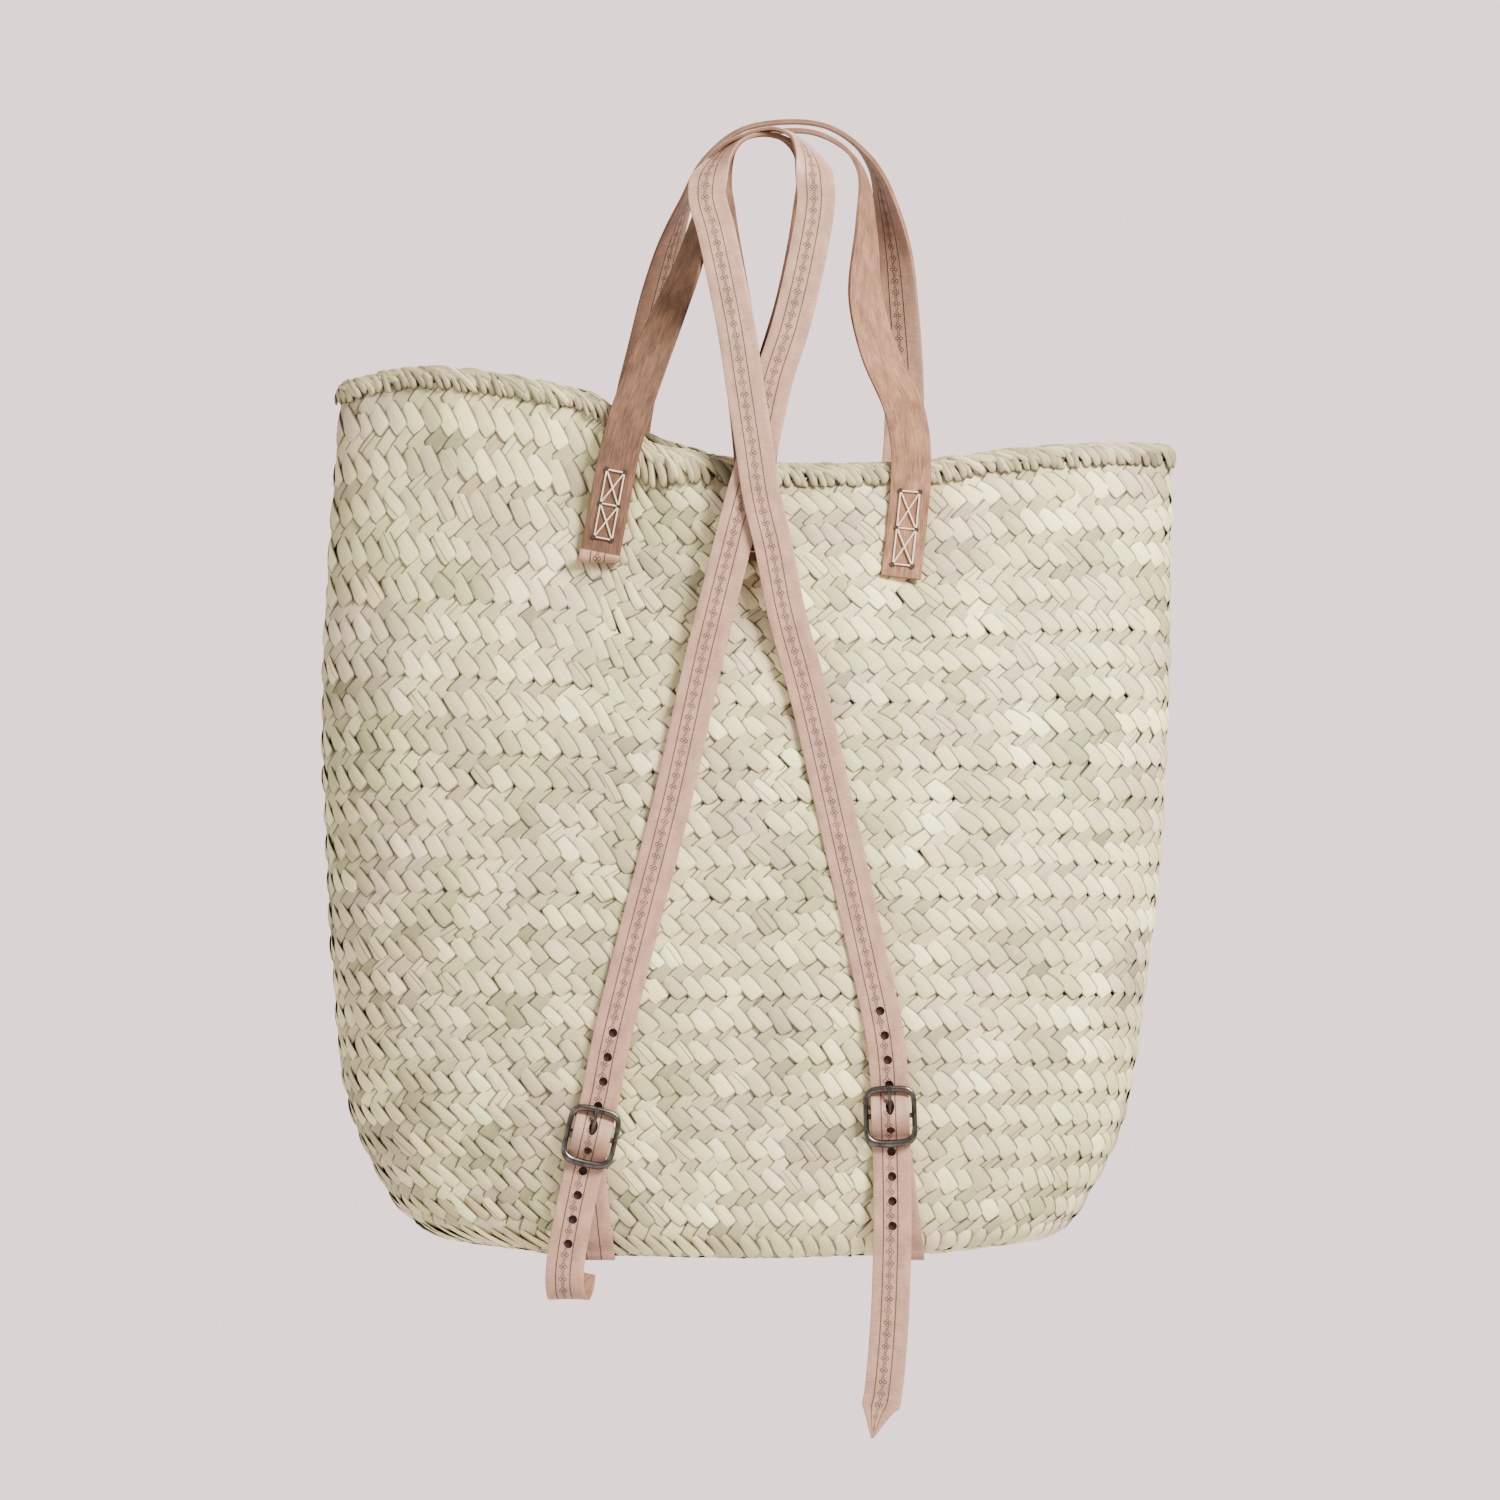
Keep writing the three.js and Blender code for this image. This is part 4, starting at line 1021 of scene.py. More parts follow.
def leaf_tints(along, up, kind, browner=0.0):
    """Colour of each leaf: pale on the whole, in drifting runs of green and beige, and now and then tan, with
    painted waves of light and shade, painted light on the slanting leaves and painted shade on the crossing
    ones.
    """
    size = basket()
    slow = np.random.default_rng(11)
    own = np.random.default_rng(40 + kind)
    count = len(along)
    tone = np.tile(np.array(size.cream), (count, 1))
    for name, run in COLOUR_RUNS.items():
        drift = waves(slow, along, up, *run["waves"]) + own.normal(0, COLOUR_JITTER, count)
        share = np.clip(drift * run["gain"] + run["usual"], 0, run["most"])[:, None]
        tone = tone * (1 - share) + np.array(getattr(size, name)) * share
    rare = own.random(count) < 0.03 + browner * 0.3
    share = np.where(rare, own.uniform(*TAN_SHARES, count), browner * 0.2)[:, None]
    tone = tone * (1 - share) + np.array(size.tan) * share
    shade = 1.0 + SHADE["gain"] * waves(slow, along, up * SHADE["up"], *SHADE["waves"])
    # Painted light on the slanting leaves, painted shade on the crossing ones
    level = SLANT_PAINTED_LIGHT if kind == 0 else CROSS_PAINTED_SHADE
    brightness = own.normal(1.0, BRIGHTNESS_JITTER, count) * shade * level
    return np.clip(tone * brightness[:, None], 0.02, 0.98)


def weave(sheet, shape, kind, columns, rows, first_column=0, first_row=0, around=None, inside=False,
          browner=0.0):
    """A field of like leaves: one leaf, arrayed in a row and then in rows, and laid on a sheet. kind is the
    number of the shape, which picks its random draws, and around is how many leaves close a row."""
    around = around or basket().columns
    leaf = leaf_blank(shape)
    per_leaf = len(leaf.data.vertices)
    for count, step in ((columns, (1, 0, 0)), (rows, (0, 1, 0))):
        apply_modifier(leaf, "ARRAY", count=count, use_relative_offset=False, use_constant_offset=True,
                       constant_offset_displace=step)
    local = coordinates(leaf)
    number = np.arange(len(local)) // per_leaf
    column = number % columns
    row = number // columns
    local[:, 0] -= column
    local[:, 1] -= row
    rng = np.random.default_rng(100 + kind * 10 + first_column + (500 if inside else 0))
    leaves = columns * rows
    uneven = shape["uneven"]
    wide = np.clip(rng.normal(1.0, SCATTER["wide"] * uneven, leaves), 0.6, 1.4)[number]
    long = rng.normal(1.0, SCATTER["long"] * uneven, leaves)[number]
    turn = math.radians(shape["turn"]) + rng.normal(0, SCATTER["turn"] * uneven, leaves)[number]
    lift = rng.normal(0, SCATTER["lift"] * uneven, leaves)[number]
    lean = rng.normal(0, SCATTER["lean"], leaves)[number]
    side_shift = rng.normal(0, SCATTER["shift"], leaves)[number]
    up_shift = rng.normal(0, SCATTER["shift"], leaves)[number]
    x = local[:, 0] * wide
    y = local[:, 1] * long
    out = local[:, 2] + lift + x * lean
    turned_x = x * np.cos(turn) - y * np.sin(turn) + side_shift
    turned_y = x * np.sin(turn) + y * np.cos(turn) + up_shift
    phase = np.random.default_rng(7).random(60)[row + first_row + 8]
    pitch_along, pitch_up = shape["pitch"]
    facing = -1 if inside else 1
    along = (first_column + column + phase + shape["centre"][0] + facing * turned_x / pitch_along) / around
    up = first_row + row + shape["centre"][1] + turned_y / pitch_up
    spots, normals = sheet.at(along, np.minimum(up, sheet.ups[-1]))
    level = -basket().wall - out if inside else out
    set_coordinates(leaf, spots + normals * level[:, None])
    middle_along = (first_column + np.arange(leaves) % columns) / around
    middle_up = first_row + np.arange(leaves) // columns
    tints = leaf_tints(middle_along, middle_up, kind, browner)[number]
    point_attribute(leaf, "leaf_tint", "FLOAT_COLOR", np.column_stack([tints, np.ones(len(tints))]))
    point_attribute(leaf, "leaf_chance", "FLOAT", rng.random(leaves)[number])
    return leaf


def shrunk_core(node):
    """A copy of one of the frame's nodes, a little thinner, to stand behind its leaves."""
    core = frame["nodes"][node].copy()
    core.data = core.data.copy()
    bpy.context.scene.collection.objects.link(core)
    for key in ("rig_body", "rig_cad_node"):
        if key in core:
            del core[key]
    select_only(core)
    bpy.ops.object.mode_set(mode="EDIT")
    bpy.ops.mesh.select_all(action="SELECT")
    bpy.ops.mesh.remove_doubles(threshold=0.00001)
    bpy.ops.transform.shrink_fatten(value=-0.0009)
    bpy.ops.object.mode_set(mode="OBJECT")
    return core


class BACKPACK_OT_leaves(bpy.types.Operator):
    """Weave the palm leaves of the wall, outside, inside and under the base"""

    bl_idname = "backpack.leaves"
    bl_label = "Woven leaves"

    def execute(self, context):
        size = basket()
        sheet = wall_sheet()
        outer = leaf_material("palm leaf", 1.0)
        # The inside leaves are the same leaves at 0.85 of the brightness: painted shade inside the basket
        inner = leaf_material("palm leaf inside painted shade", 0.85)
        half = size.columns // 2
        kinds = (SLANT_LEAF, CROSS_LEAF)
        for name, first in (("near", 0), ("far", half)):
            fields = [weave(sheet, shape, kind, half, size.rows, first) for kind, shape in enumerate(kinds)]
            settle(join(fields), f"leaves_{name}", outer, "straw", "basket_shell")
        base = [weave(sheet, shape, kind, size.columns, 3, 0, -3) for kind, shape in enumerate(kinds)]
        settle(join(base), "leaves_base", outer, "straw", "basket_shell")
        coarse_slant = dict(SLANT_LEAF, across=2, rows=SLANT_LEAF["rows"][::2] + SLANT_LEAF["rows"][-1:])
        coarse_cross = dict(CROSS_LEAF, across=2, rows=CROSS_LEAF["rows"][::2])
        inside = [weave(sheet, shape, kind, size.columns, size.rows, inside=True)
                  for kind, shape in enumerate((coarse_slant, coarse_cross))]
        settle(join(inside), "leaves_inside", inner, "straw", "basket_shell")
        return {"FINISHED"}


class BACKPACK_OT_rim(bpy.types.Operator):
    """Wrap the narrow twisted strands round the rim, on a dark core of painted shade that shows between them
    """

    bl_idname = "backpack.rim"
    bl_label = "Rim braid"

    def execute(self, context):
        settle(shrunk_core("rim_braid"), "rim_core_painted_shade", painted_gap_shade_material(), "rim_straw", "rim_braid")
        strand = leaf_material("rim strand", 0.74)
        sheet = rim_sheet()
        count = int(0.95 / RIM_STRAND["pitch"][0])
        over = dict(RIM_STRAND, centre=(0.5, 0.5))
        inner = dict(RIM_STRAND, centre=(0.2, 0.8))
        low = dict(RIM_STRAND, centre=(0.35, 0.12), length=0.0125, width=0.0038, turn=46.0)
        fields = [weave(sheet, shape, kind, count, 1, around=count, browner=1.0)
                  for kind, shape in enumerate((RIM_STRAND, over, inner, low))]
        settle(join(fields), "rim_strands", strand, "rim_straw", "rim_braid")
        return {"FINISHED"}


class BACKPACK_OT_core(bpy.types.Operator):
    """Set the core that closes the wall behind the leaves, dark with the painted shade seen between them"""

    bl_idname = "backpack.core"
    bl_label = "Braid core"

    def execute(self, context):
        settle(shrunk_core("basket_shell"), "braid_core_painted_shade", painted_gap_shade_material(), "straw", "basket_shell")
        return {"FINISHED"}


# Leather, thread and metal

# Sewing of the strap ends: distance of the holes from the middle line, and of their rows from the strap's end
SEWN_LEFT = {"side": 0.0045, "rows": (0.0045, 0.0217, 0.0389)}
SEWN_RIGHT = {"side": 0.0048, "rows": (0.0062, 0.025, 0.0438)}
SEWN_ANCHOR = {"side": 0.005, "rows": (0.005, 0.019)}

# Thread: radius, distance from the leather, gap to the holes' middles, and lift of crossing threads
THREAD_RADIUS = 0.4 * MM
THREAD_LEVEL = 0.45 * MM
THREAD_SHORT = 0.9 * MM
THREAD_LIFT = 0.2 * MM

# Discs that stand for holes, dark with painted shade: radius and depth of the sewing holes, and of the backs
# of the adjusting holes
NEEDLE_HOLE = 1.4 * MM
HOLE_DEPTH = 1.2 * MM
BACK_RADIUS = 2.5 * MM
BACK_DEPTH = 0.2 * MM

# Tooling of the grain side, in millimetres from the middle line: two grooves, and a chain of rosettes with
# four ringed dots each, tied by crossed stems
GROOVES = (-4.4, 2.7)
CHAIN_MIDDLE = -0.9
CHAIN_PITCH = 5.9
DOT_REACH = 1.05
RING_RADIUS = 0.72

# Lengths from a strap's first end, in millimetres, between which its flesh side turns lighter, from painted
# shade to painted light
FLESH_PAINTED_SHADE_ENDS = 120
FLESH_PAINTED_LIGHT_STARTS = 400


def strip_blank(width, length, thick, pitch, across=8, edge=0.0004):
    """A flat strip along +Y with its grain side up, from a grid thickened and with its edges eased."""
    bpy.ops.object.select_all(action="DESELECT")
    bpy.ops.mesh.primitive_grid_add(x_subdivisions=across, y_subdivisions=max(4, round(length / pitch)),
                                    size=1, location=(0, length / 2, 0))
    piece = bpy.context.active_object
    piece.scale = (width, length, 1)
    apply_transform()
    apply_modifier(piece, "SOLIDIFY", thickness=thick, offset=0)
    apply_modifier(piece, "BEVEL", width=edge, segments=2, limit_method="ANGLE", angle_limit=math.radians(40))
    return piece


def punch(piece, holes):
    """Punches holes (x, y, width, length) through a flat strip."""
    deep = 0.012
    cutters = [cylinder(20, 0.5, deep, (x, y, 0), scale=(wide, long, 1)) for x, y, wide, long in holes]
    cut(piece, join(cutters))


def lay_leather(piece, route, width, thick):
    """Notes the flat strip's own coordinates for its material, and lays it."""
    flat = coordinates(piece)
    uv_from_points(piece, flat[:, :2] / MM)
    point_attribute(piece, "grain_side", "FLOAT", flat[:, 2] / (thick / 2))
    route.lay(piece, width)


def thread_cross(side_x, rows_y, level):
    """Boxes of thread with crossed diagonals between two columns of holes, and dark discs of painted shade in
    the holes.
    """
    corners = [[(x, y, level) for x in (-side_x, side_x)] for y in rows_y]
    pairs = []
    for low, high in zip(corners, corners[1:]):
        pairs += [(low[0], high[0]), (low[1], high[1]), (low[0], high[1]), (low[1], high[0])]
    pairs += [(row[0], row[1]) for row in corners]
    threads = []
    for k, (start, end) in enumerate(pairs):
        start = Vector(start)
        way = Vector(end) - start
        lift = Vector((0, 0, math.copysign(THREAD_LIFT * (k % 3), level)))
        threads.append(cylinder(10, THREAD_RADIUS, way.length - 2 * THREAD_SHORT, start + way / 2 + lift,
                                way.to_track_quat("Z", "Y").to_euler()))
    holes = [cylinder(14, NEEDLE_HOLE, HOLE_DEPTH, (x, y, z * 0.75)) for row in corners for x, y, z in row]
    return join(threads), join(holes)


def sew(name, route, width, thick, side_x, rows_y, materials):
    """Sews a strap end to the wall, with the thread on its flesh side."""
    pieces = thread_cross(side_x, rows_y, -thick / 2 - THREAD_LEVEL)
    for piece, part, material in zip(pieces, ("thread", "thread_hole_shades"), materials):
        route.lay(piece, width)
        settle(piece, f"{part}_{name}", material, "leather")


def chain_marks(n, x, y):
    """Dots and lines of the pressed chain, for a place on the leather in millimetres."""
    along = n.times(n.minus(n.math("FRACT", n.math("DIVIDE", y, CHAIN_PITCH)), 0.5), CHAIN_PITCH)
    aside = n.apart(x, CHAIN_MIDDLE)
    ahead = n.apart(along)
    longer = n.minus(n.math("MAXIMUM", aside, ahead), DOT_REACH)
    shorter = n.math("MINIMUM", aside, ahead)
    from_dot = n.math("SQRT", n.plus(n.times(longer, longer), n.times(shorter, shorter)))
    ring = n.ramp(n.apart(from_dot, RING_RADIUS), 0.08, 0.36, 1.0, 0.0)
    stem = n.ramp(n.apart(aside, n.minus(CHAIN_PITCH / 2, ahead)), 0.12, 0.4, 1.0, 0.0)
    stem = n.times(stem, n.ramp(aside, 0.7, 0.95, 1.0, 0.0))
    return n.ramp(from_dot, 0.3, 0.5, 1.0, 0.0), n.math("MAXIMUM", ring, stem)


def leather_material(name, chain):
    """Vegetable-tanned leather: two grooves and a pressed chain on the grain side, suede on the flesh."""
    straps = leather()
    n = Nodes(name)
    uv = n.add("ShaderNodeUVMap", uv_map="UVMap").outputs[0]
    parts = n.add("ShaderNodeSeparateXYZ", {"Vector": uv})
    x = parts.outputs[0]
    y = parts.outputs[1]
    side = n.add("ShaderNodeAttribute", attribute_name="grain_side").outputs["Fac"]
    grain = n.ramp(side, 0.1, 0.8)
    mottle = n.stretched(uv, 0.16, 0.07, 4.0, 0.6)
    pores = n.stretched(uv, 1.6, 1.6, 3.0, 0.6)
    creases = n.stretched(uv, 0.14, 1.1, 3.0, 0.55)
    marks = 0.0
    for at in GROOVES:
        marks = n.math("MAXIMUM", marks, n.ramp(n.apart(x, at), 0.15, 0.42, 1.0, 0.0))
    dots = 0.0
    if chain:
        dots, lines = chain_marks(n, x, y)
        pressed = n.ramp(n.stretched(uv, 0.3, 0.12, 2.0, 0.5), 0.3, 0.55, 0.75, 1.0)
        marks = n.math("MAXIMUM", marks, n.times(lines, pressed))
    tone = n.plus(n.ramp(mottle, 0.3, 0.7, 0.78, 1.2), n.ramp(pores, 0.3, 0.7, -0.06, 0.06))
    tone = n.times(tone, n.ramp(creases, 0.35, 0.65, 0.9, 1.08))
    tone = n.times(tone, n.minus(1.0, n.times(marks, 0.8)))
    smooth_color = n.toned(rgba(straps.grain), tone)
    fibres = n.stretched(uv, 1.9, 0.09, 4.0, 0.65)
    nap = n.stretched(uv, 3.0, 3.0, 3.0, 0.7)
    rough_tone = n.plus(n.ramp(fibres, 0.3, 0.7, 0.5, 1.55), n.ramp(nap, 0.3, 0.7, -0.15, 0.15))
    rough_tone = n.times(rough_tone, n.ramp(mottle, 0.35, 0.65, 0.75, 1.3))
    # Painted shade on the flesh side near the first end, painted light further along
    rough_tone = n.times(rough_tone, n.ramp(y, FLESH_PAINTED_SHADE_ENDS, FLESH_PAINTED_LIGHT_STARTS, 0.62, 1.15))
    suede_color = n.toned(rgba(straps.suede), rough_tone)
    edge = n.ramp(n.apart(side), 0.55, 0.95, 1.0, 0.0)
    color = n.mix(grain, suede_color, smooth_color)
    color = n.mix(n.times(edge, 0.5), color, rgba(straps.suede, 1.05))
    height = n.plus(n.times(pores, 0.12), n.times(creases, 0.4))
    height = n.minus(n.plus(height, n.times(dots, 0.3)), marks)
    height = n.plus(n.times(height, grain), n.times(n.times(fibres, 0.6), n.minus(1.0, grain)))
    roughness = n.ramp(grain, 0.0, 1.0, 0.92, 0.5)
    return n.finish(color, roughness, n.bump(height, 0.5, 0.0004), Specular_IOR_Level=0.4)


def thread_material():
    n = Nodes("waxed thread")
    noise = n.noise(n.place(), 1400, 2.0, 0.6)
    tone = leather().thread
    color = n.mix(n.ramp(noise, 0.3, 0.7), rgba(tone), rgba(tone, 0.8))
    return n.finish(color, 0.7, n.bump(noise, 0.5, 0.0002))


# Painted shade: the near-black colour of the discs that stand for the dark of the holes
def painted_hole_shade_material():
    n = Nodes("painted shade of the holes")
    noise = n.noise(n.place(), 900, 2.0, 0.5)
    return n.finish(n.mix(noise, (0.02, 0.01, 0.008, 1), (0.05, 0.028, 0.02, 1)), 0.9)


def metal_material():
    """Antique pewter: dark in the hollows, rubbed brighter here and there."""
    n = Nodes("antique pewter")
    noise = n.noise(n.place(), 260, 4.0, 0.65)
    tone = buckles().metal
    color = n.mix(n.ramp(noise, 0.35, 0.7), rgba(tone, 0.6), rgba(tone, 1.9))
    return n.finish(color, n.ramp(noise, 0.3, 0.7, 0.42, 0.27), n.bump(noise, 0.25, 0.0003), Metallic=1.0)


class BACKPACK_OT_handles(bpy.types.Operator):
    """Cut the two hand straps, lay them in their arches and sew their ends on"""

    bl_idname = "backpack.handles"
    bl_label = "Hand straps"

    def execute(self, context):
        hide = leather_material("hand strap leather", True)
        sewing = (thread_material(), painted_hole_shade_material())
        width = leather().handle_width
        thick = leather().handle_thick
        for name, rows, side, lip in (("near", NEAR_HANDLE, -1, NEAR_LIP), ("far", FAR_HANDLE, 1, 0)):
            route = handle_route(rows, side)
            piece = strip_blank(width, route.length, thick, 0.0013)
            lay_leather(piece, route, width, thick)
            settle(piece, f"hand_strap_{name}", hide, "leather", f"handle_{name}")
            first = [lip + row for row in SEWN_LEFT["rows"]]
            last = [route.length - row for row in SEWN_RIGHT["rows"]]
            sew(f"{name}_left", route, width, thick, SEWN_LEFT["side"], first, sewing)
            sew(f"{name}_right", route, width, thick, SEWN_RIGHT["side"], last, sewing)
        return {"FINISHED"}


class BACKPACK_OT_straps(bpy.types.Operator):
    """Cut and punch the shoulder straps and lay them from the wall over their turns to the buckles"""

    bl_idname = "backpack.straps"
    bl_label = "Shoulder straps"

    def execute(self, context):
        straps = leather()
        hide = leather_material("shoulder strap leather", True)
        width = straps.strap_width
        thick = straps.strap_thick
        for name in STRAP_ROUTES:
            route, seat = strap_route(name)
            level = layers()
            home = route.nearest(seat.at(0, level.bar_place * 0.4, level.over))
            piece = strip_blank(width, route.length, thick, 0.002)
            holes = []
            for step in range(-4, 6):
                long = straps.hole + (buckles().prong + thick if step == 0 else 0)
                holes.append((0, home + step * straps.hole_pitch, straps.hole, long))
            punch(piece, holes)
            lay_leather(piece, route, width, thick)
            settle(piece, f"strap_{name}", hide, "leather", f"shoulder_strap_{name}")
            # Dark discs behind the adjusting holes: painted shade seen through them
            back = (BACK_DEPTH - thick) / 2
            backs = join([cylinder(16, BACK_RADIUS, BACK_DEPTH, (0, y, back)) for _, y, _, _ in holes])
            route.lay(backs, width)
            settle(backs, f"painted_hole_shade_backs_{name}", painted_hole_shade_material(), "leather")
            if STRAP_ROUTES[name]["seat_layer"]:
                sewing = (thread_material(), painted_hole_shade_material())
                sew("anchor", route, width, thick, SEWN_ANCHOR["side"], SEWN_ANCHOR["rows"], sewing)
        return {"FINISHED"}


class BACKPACK_OT_tabs(bpy.types.Operator):
    """Lay the tabs round the centre bars and under the base"""

    bl_idname = "backpack.tabs"
    bl_label = "Tabs"

    def execute(self, context):
        straps = leather()
        metal = buckles()
        hide = leather_material("tab leather", False)
        for name in TAB_FEET:
            route, seat = tab_route(name)
            level = layers()
            piece = strip_blank(straps.strap_width, route.length, straps.tab_thick, 0.001)
            lay_leather(piece, route, straps.strap_width, straps.tab_thick)
            bpy.ops.mesh.primitive_cube_add(size=1)
            slot = context.active_object
            slot.scale = (metal.prong + 4 * GAP, 4 * level.loop, 4 * level.loop)
            apply_transform()
            slot.matrix_world = seat.matrix(level.centre) @ Matrix.Translation((0, level.loop / 2, 0))
            apply_transform()
            cut(piece, slot)
            settle(piece, f"tab_{name}_leather", hide, "leather", f"tab_{name}")
        return {"FINISHED"}


def bowed_frame():
    """A round-cornered frame with bowed top and bottom bars, from a torus."""
    metal = buckles()
    ring_radius = 0.5
    tube_radius = 0.1
    square = 2 / 5.5
    bow_top = 0.0007
    bow_bottom = 0.0011
    bpy.ops.object.select_all(action="DESELECT")
    bpy.ops.mesh.primitive_torus_add(major_segments=72, minor_segments=14, major_radius=ring_radius,
                                     minor_radius=tube_radius)
    ring = bpy.context.active_object
    places = coordinates(ring)
    turn = np.arctan2(places[:, 1], places[:, 0])
    reach = (np.hypot(places[:, 0], places[:, 1]) - ring_radius) / tube_radius
    lift = places[:, 2] / tube_radius
    cosine = np.cos(turn)
    sine = np.sin(turn)
    half_wide = (metal.width - metal.side_bar) / 2
    bow = np.where(sine > 0, bow_top, bow_bottom)
    half_tall = metal.height / 2 - metal.bar / 2 - bow * 0.6
    x = half_wide * np.sign(cosine) * np.abs(cosine) ** square
    y = half_tall * np.sign(sine) * np.abs(sine) ** square
    out_x = np.sign(cosine) * np.abs(cosine) ** (2 - square)
    out_y = np.sign(sine) * np.abs(sine) ** (2 - square)
    size = np.hypot(out_x, out_y)
    upright = np.abs(out_y / size)
    bar = np.where(sine > 0, metal.bar * 0.95, metal.bar * 1.15)
    radius = (metal.side_bar * 0.85 * (1 - upright) + bar * upright) / 2
    y += np.sign(sine) * bow * (1 - (x / half_wide) ** 2) * upright
    places[:, 0] = x + out_x / size * reach * radius
    places[:, 1] = y + out_y / size * reach * radius
    places[:, 2] = lift * radius * 0.85
    set_coordinates(ring, places)
    return ring


def prong_route(seat, level):
    """From behind the centre bar round it and forwards to the buckle's upper bar."""
    metal = buckles()
    eye = metal.centre_bar / 2 + GAP + metal.prong / 2
    rest = level.frame + metal.bar / 2 + GAP + metal.prong / 2
    stops = []
    for degrees in range(250, 0, -40):
        angle = math.radians(degrees)
        stops.append(seat.stop_at(eye * math.sin(angle), level.centre + eye * math.cos(angle)))
    stops.append(seat.stop_at(level.bar_place * 0.45, (level.centre + eye + rest) / 2))
    stops.append(seat.stop_at(level.bar_place - metal.bar / 2, rest))
    stops.append(seat.stop_at(level.bar_place + metal.bar / 2, rest))
    return Route(stops)


class BACKPACK_OT_buckles(bpy.types.Operator):
    """Cast the two buckles with their prongs"""

    bl_idname = "backpack.buckles"
    bl_label = "Buckles"

    def execute(self, context):
        metal = buckles()
        pewter = metal_material()
        level = layers()
        for name, place in BUCKLE_SEATS.items():
            seat = Seat(**place)
            ring = bowed_frame()
            bar = cylinder(14, metal.centre_bar / 2, metal.width - metal.side_bar,
                           (0, 0, level.centre - level.frame), (0, math.pi / 2, 0))
            buckle = join([ring, bar])
            buckle.matrix_world = seat.matrix(level.frame)
            apply_transform()
            settle(buckle, f"buckle_{name}", pewter, "buckle_metal", f"buckle_frame_{name}")
            route = prong_route(seat, level)
            prong = strip_blank(metal.prong, route.length, metal.prong, 0.0006, 4, metal.prong * 0.32)
            route.lay(prong, metal.prong)
            settle(prong, f"prong_{name}", pewter, "buckle_metal", f"buckle_prong_{name}")
        return {"FINISHED"}


# Stage

FLOOR_RADIUS = 1.8
FLOOR_Z = -1.1
LIGHT_TARGET = (0, 0, -0.33)
LIGHTS = {
    "window": {"place": (1.3, -1.5, 1.1), "edge": 0.8, "power": 198, "color": (1.0, 0.985, 0.96)},
    "fill": {"place": (-1.9, -1.3, 0.1), "edge": 1.6, "power": 22, "color": (1, 1, 1)},
    "back fill": {"place": (0.2, 2.0, 0.8), "edge": 1.6, "power": 60, "color": (1, 1, 1)},
}

# Colour and strength of the world, as the camera sees it and as it lights
WORLD_SEEN = ((0.80, 0.665, 0.645, 1), 2.5)
WORLD_GLOW = ((0.72, 0.68, 0.66, 1), 0.8)

# The camera's place, and the width that it sees at the object's distance
CAMERA_PLACE = (-0.0125, -8.0, -0.305)
CAMERA_SEES = 0.75


def soft_light(name, place, edge, power, color):
    light = bpy.data.lights.new(name, "AREA")
    light.shape = "RECTANGLE"
    light.size = edge
    light.size_y = edge
    light.energy = power
    light.color = color
    lamp = bpy.data.objects.new(name, light)
    lamp.location = place
    lamp.rotation_euler = (Vector(LIGHT_TARGET) - Vector(place)).to_track_quat("-Z", "Y").to_euler()
    bpy.context.scene.collection.objects.link(lamp)


def pale_world():
    world = bpy.data.worlds.new("pale surroundings")
    world.use_nodes = True
    tree = world.node_tree
    seen = tree.nodes["Background"]
    glow = tree.nodes.new("ShaderNodeBackground")
    for node, (color, strength) in ((seen, WORLD_SEEN), (glow, WORLD_GLOW)):
        node.inputs[0].default_value = color
        node.inputs[1].default_value = strength
    rays = tree.nodes.new("ShaderNodeLightPath")
    choose = tree.nodes.new("ShaderNodeMixShader")
    tree.links.new(rays.outputs["Is Camera Ray"], choose.inputs[0])
    tree.links.new(glow.outputs[0], choose.inputs[1])
    tree.links.new(seen.outputs[0], choose.inputs[2])
    tree.links.new(choose.outputs[0], tree.nodes["World Output"].inputs[0])
    return world


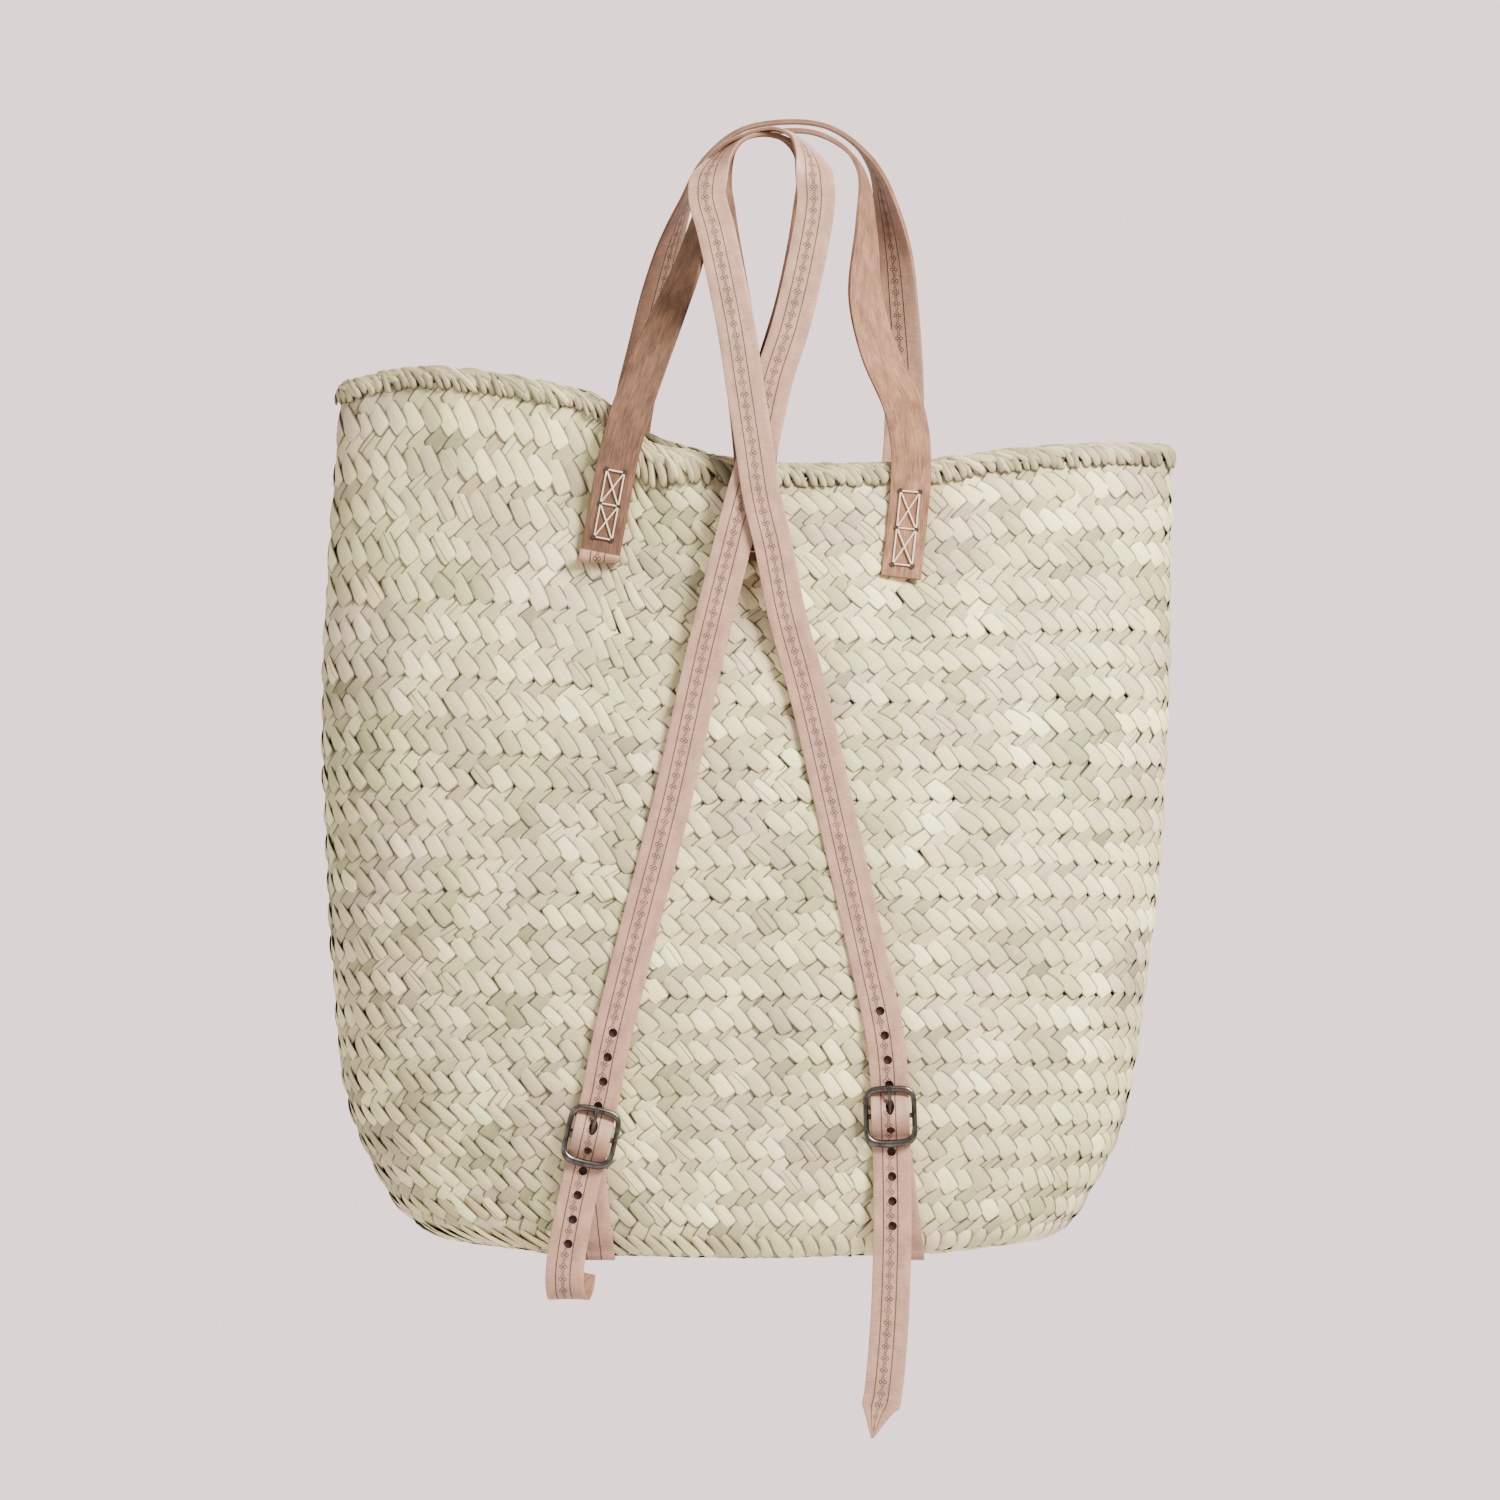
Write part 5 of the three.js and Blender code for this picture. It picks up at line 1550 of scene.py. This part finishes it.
class BACKPACK_OT_stage(bpy.types.Operator):
    """Set the floor, the lights and the camera"""

    bl_idname = "backpack.stage"
    bl_label = "Stage"

    def execute(self, context):
        bpy.ops.object.select_all(action="DESELECT")
        bpy.ops.mesh.primitive_circle_add(vertices=96, radius=FLOOR_RADIUS, fill_type="NGON",
                                          location=(0, 0, FLOOR_Z))
        floor = context.active_object
        floor.name = "floor"
        apply_transform()
        n = Nodes("pale floor")
        pale = n.mix(n.noise(n.place(), 3.0), (0.70, 0.65, 0.63, 1), (0.72, 0.67, 0.65, 1))
        floor.data.materials.append(n.finish(pale, 0.9))
        context.scene.world = pale_world()
        for name, light in LIGHTS.items():
            soft_light(name, **light)
        camera = bpy.data.cameras.new("camera")
        camera.sensor_width = 36.0
        camera.lens = camera.sensor_width * -CAMERA_PLACE[1] / CAMERA_SEES
        eye = bpy.data.objects.new("camera", camera)
        eye.location = CAMERA_PLACE
        eye.rotation_euler = (math.pi / 2, 0, 0)
        context.scene.collection.objects.link(eye)
        context.scene.camera = eye
        return {"FINISHED"}


class BACKPACK_PT_panel(bpy.types.Panel):
    """Lists the pieces of the backpack"""

    bl_idname = "BACKPACK_PT_panel"
    bl_label = "Woven straw backpack"
    bl_space_type = "VIEW_3D"
    bl_region_type = "UI"
    bl_category = "Backpack"

    def draw(self, context):
        for operator in OPERATORS:
            self.layout.operator(operator.bl_idname)


OPERATORS = (BACKPACK_OT_core, BACKPACK_OT_leaves, BACKPACK_OT_rim, BACKPACK_OT_handles,
             BACKPACK_OT_straps, BACKPACK_OT_tabs, BACKPACK_OT_buckles, BACKPACK_OT_stage)
GROUPS = {"backpack_basket": BasketSizes, "backpack_leather": LeatherSizes, "backpack_buckles": BuckleSizes}
CLASSES = (*GROUPS.values(), *OPERATORS, BACKPACK_PT_panel)


def register():
    for item in CLASSES:
        bpy.utils.register_class(item)
    for name, group in GROUPS.items():
        setattr(bpy.types.Scene, name, bpy.props.PointerProperty(type=group))


def unregister():
    for name in GROUPS:
        delattr(bpy.types.Scene, name)
    for item in reversed(CLASSES):
        bpy.utils.unregister_class(item)


def main():
    register()
    bpy.ops.backpack.core()
    bpy.ops.backpack.leaves()
    bpy.ops.backpack.rim()
    bpy.ops.backpack.handles()
    bpy.ops.backpack.straps()
    bpy.ops.backpack.tabs()
    bpy.ops.backpack.buckles()
    bpy.ops.backpack.stage()


if __name__ == "__main__":
    main()
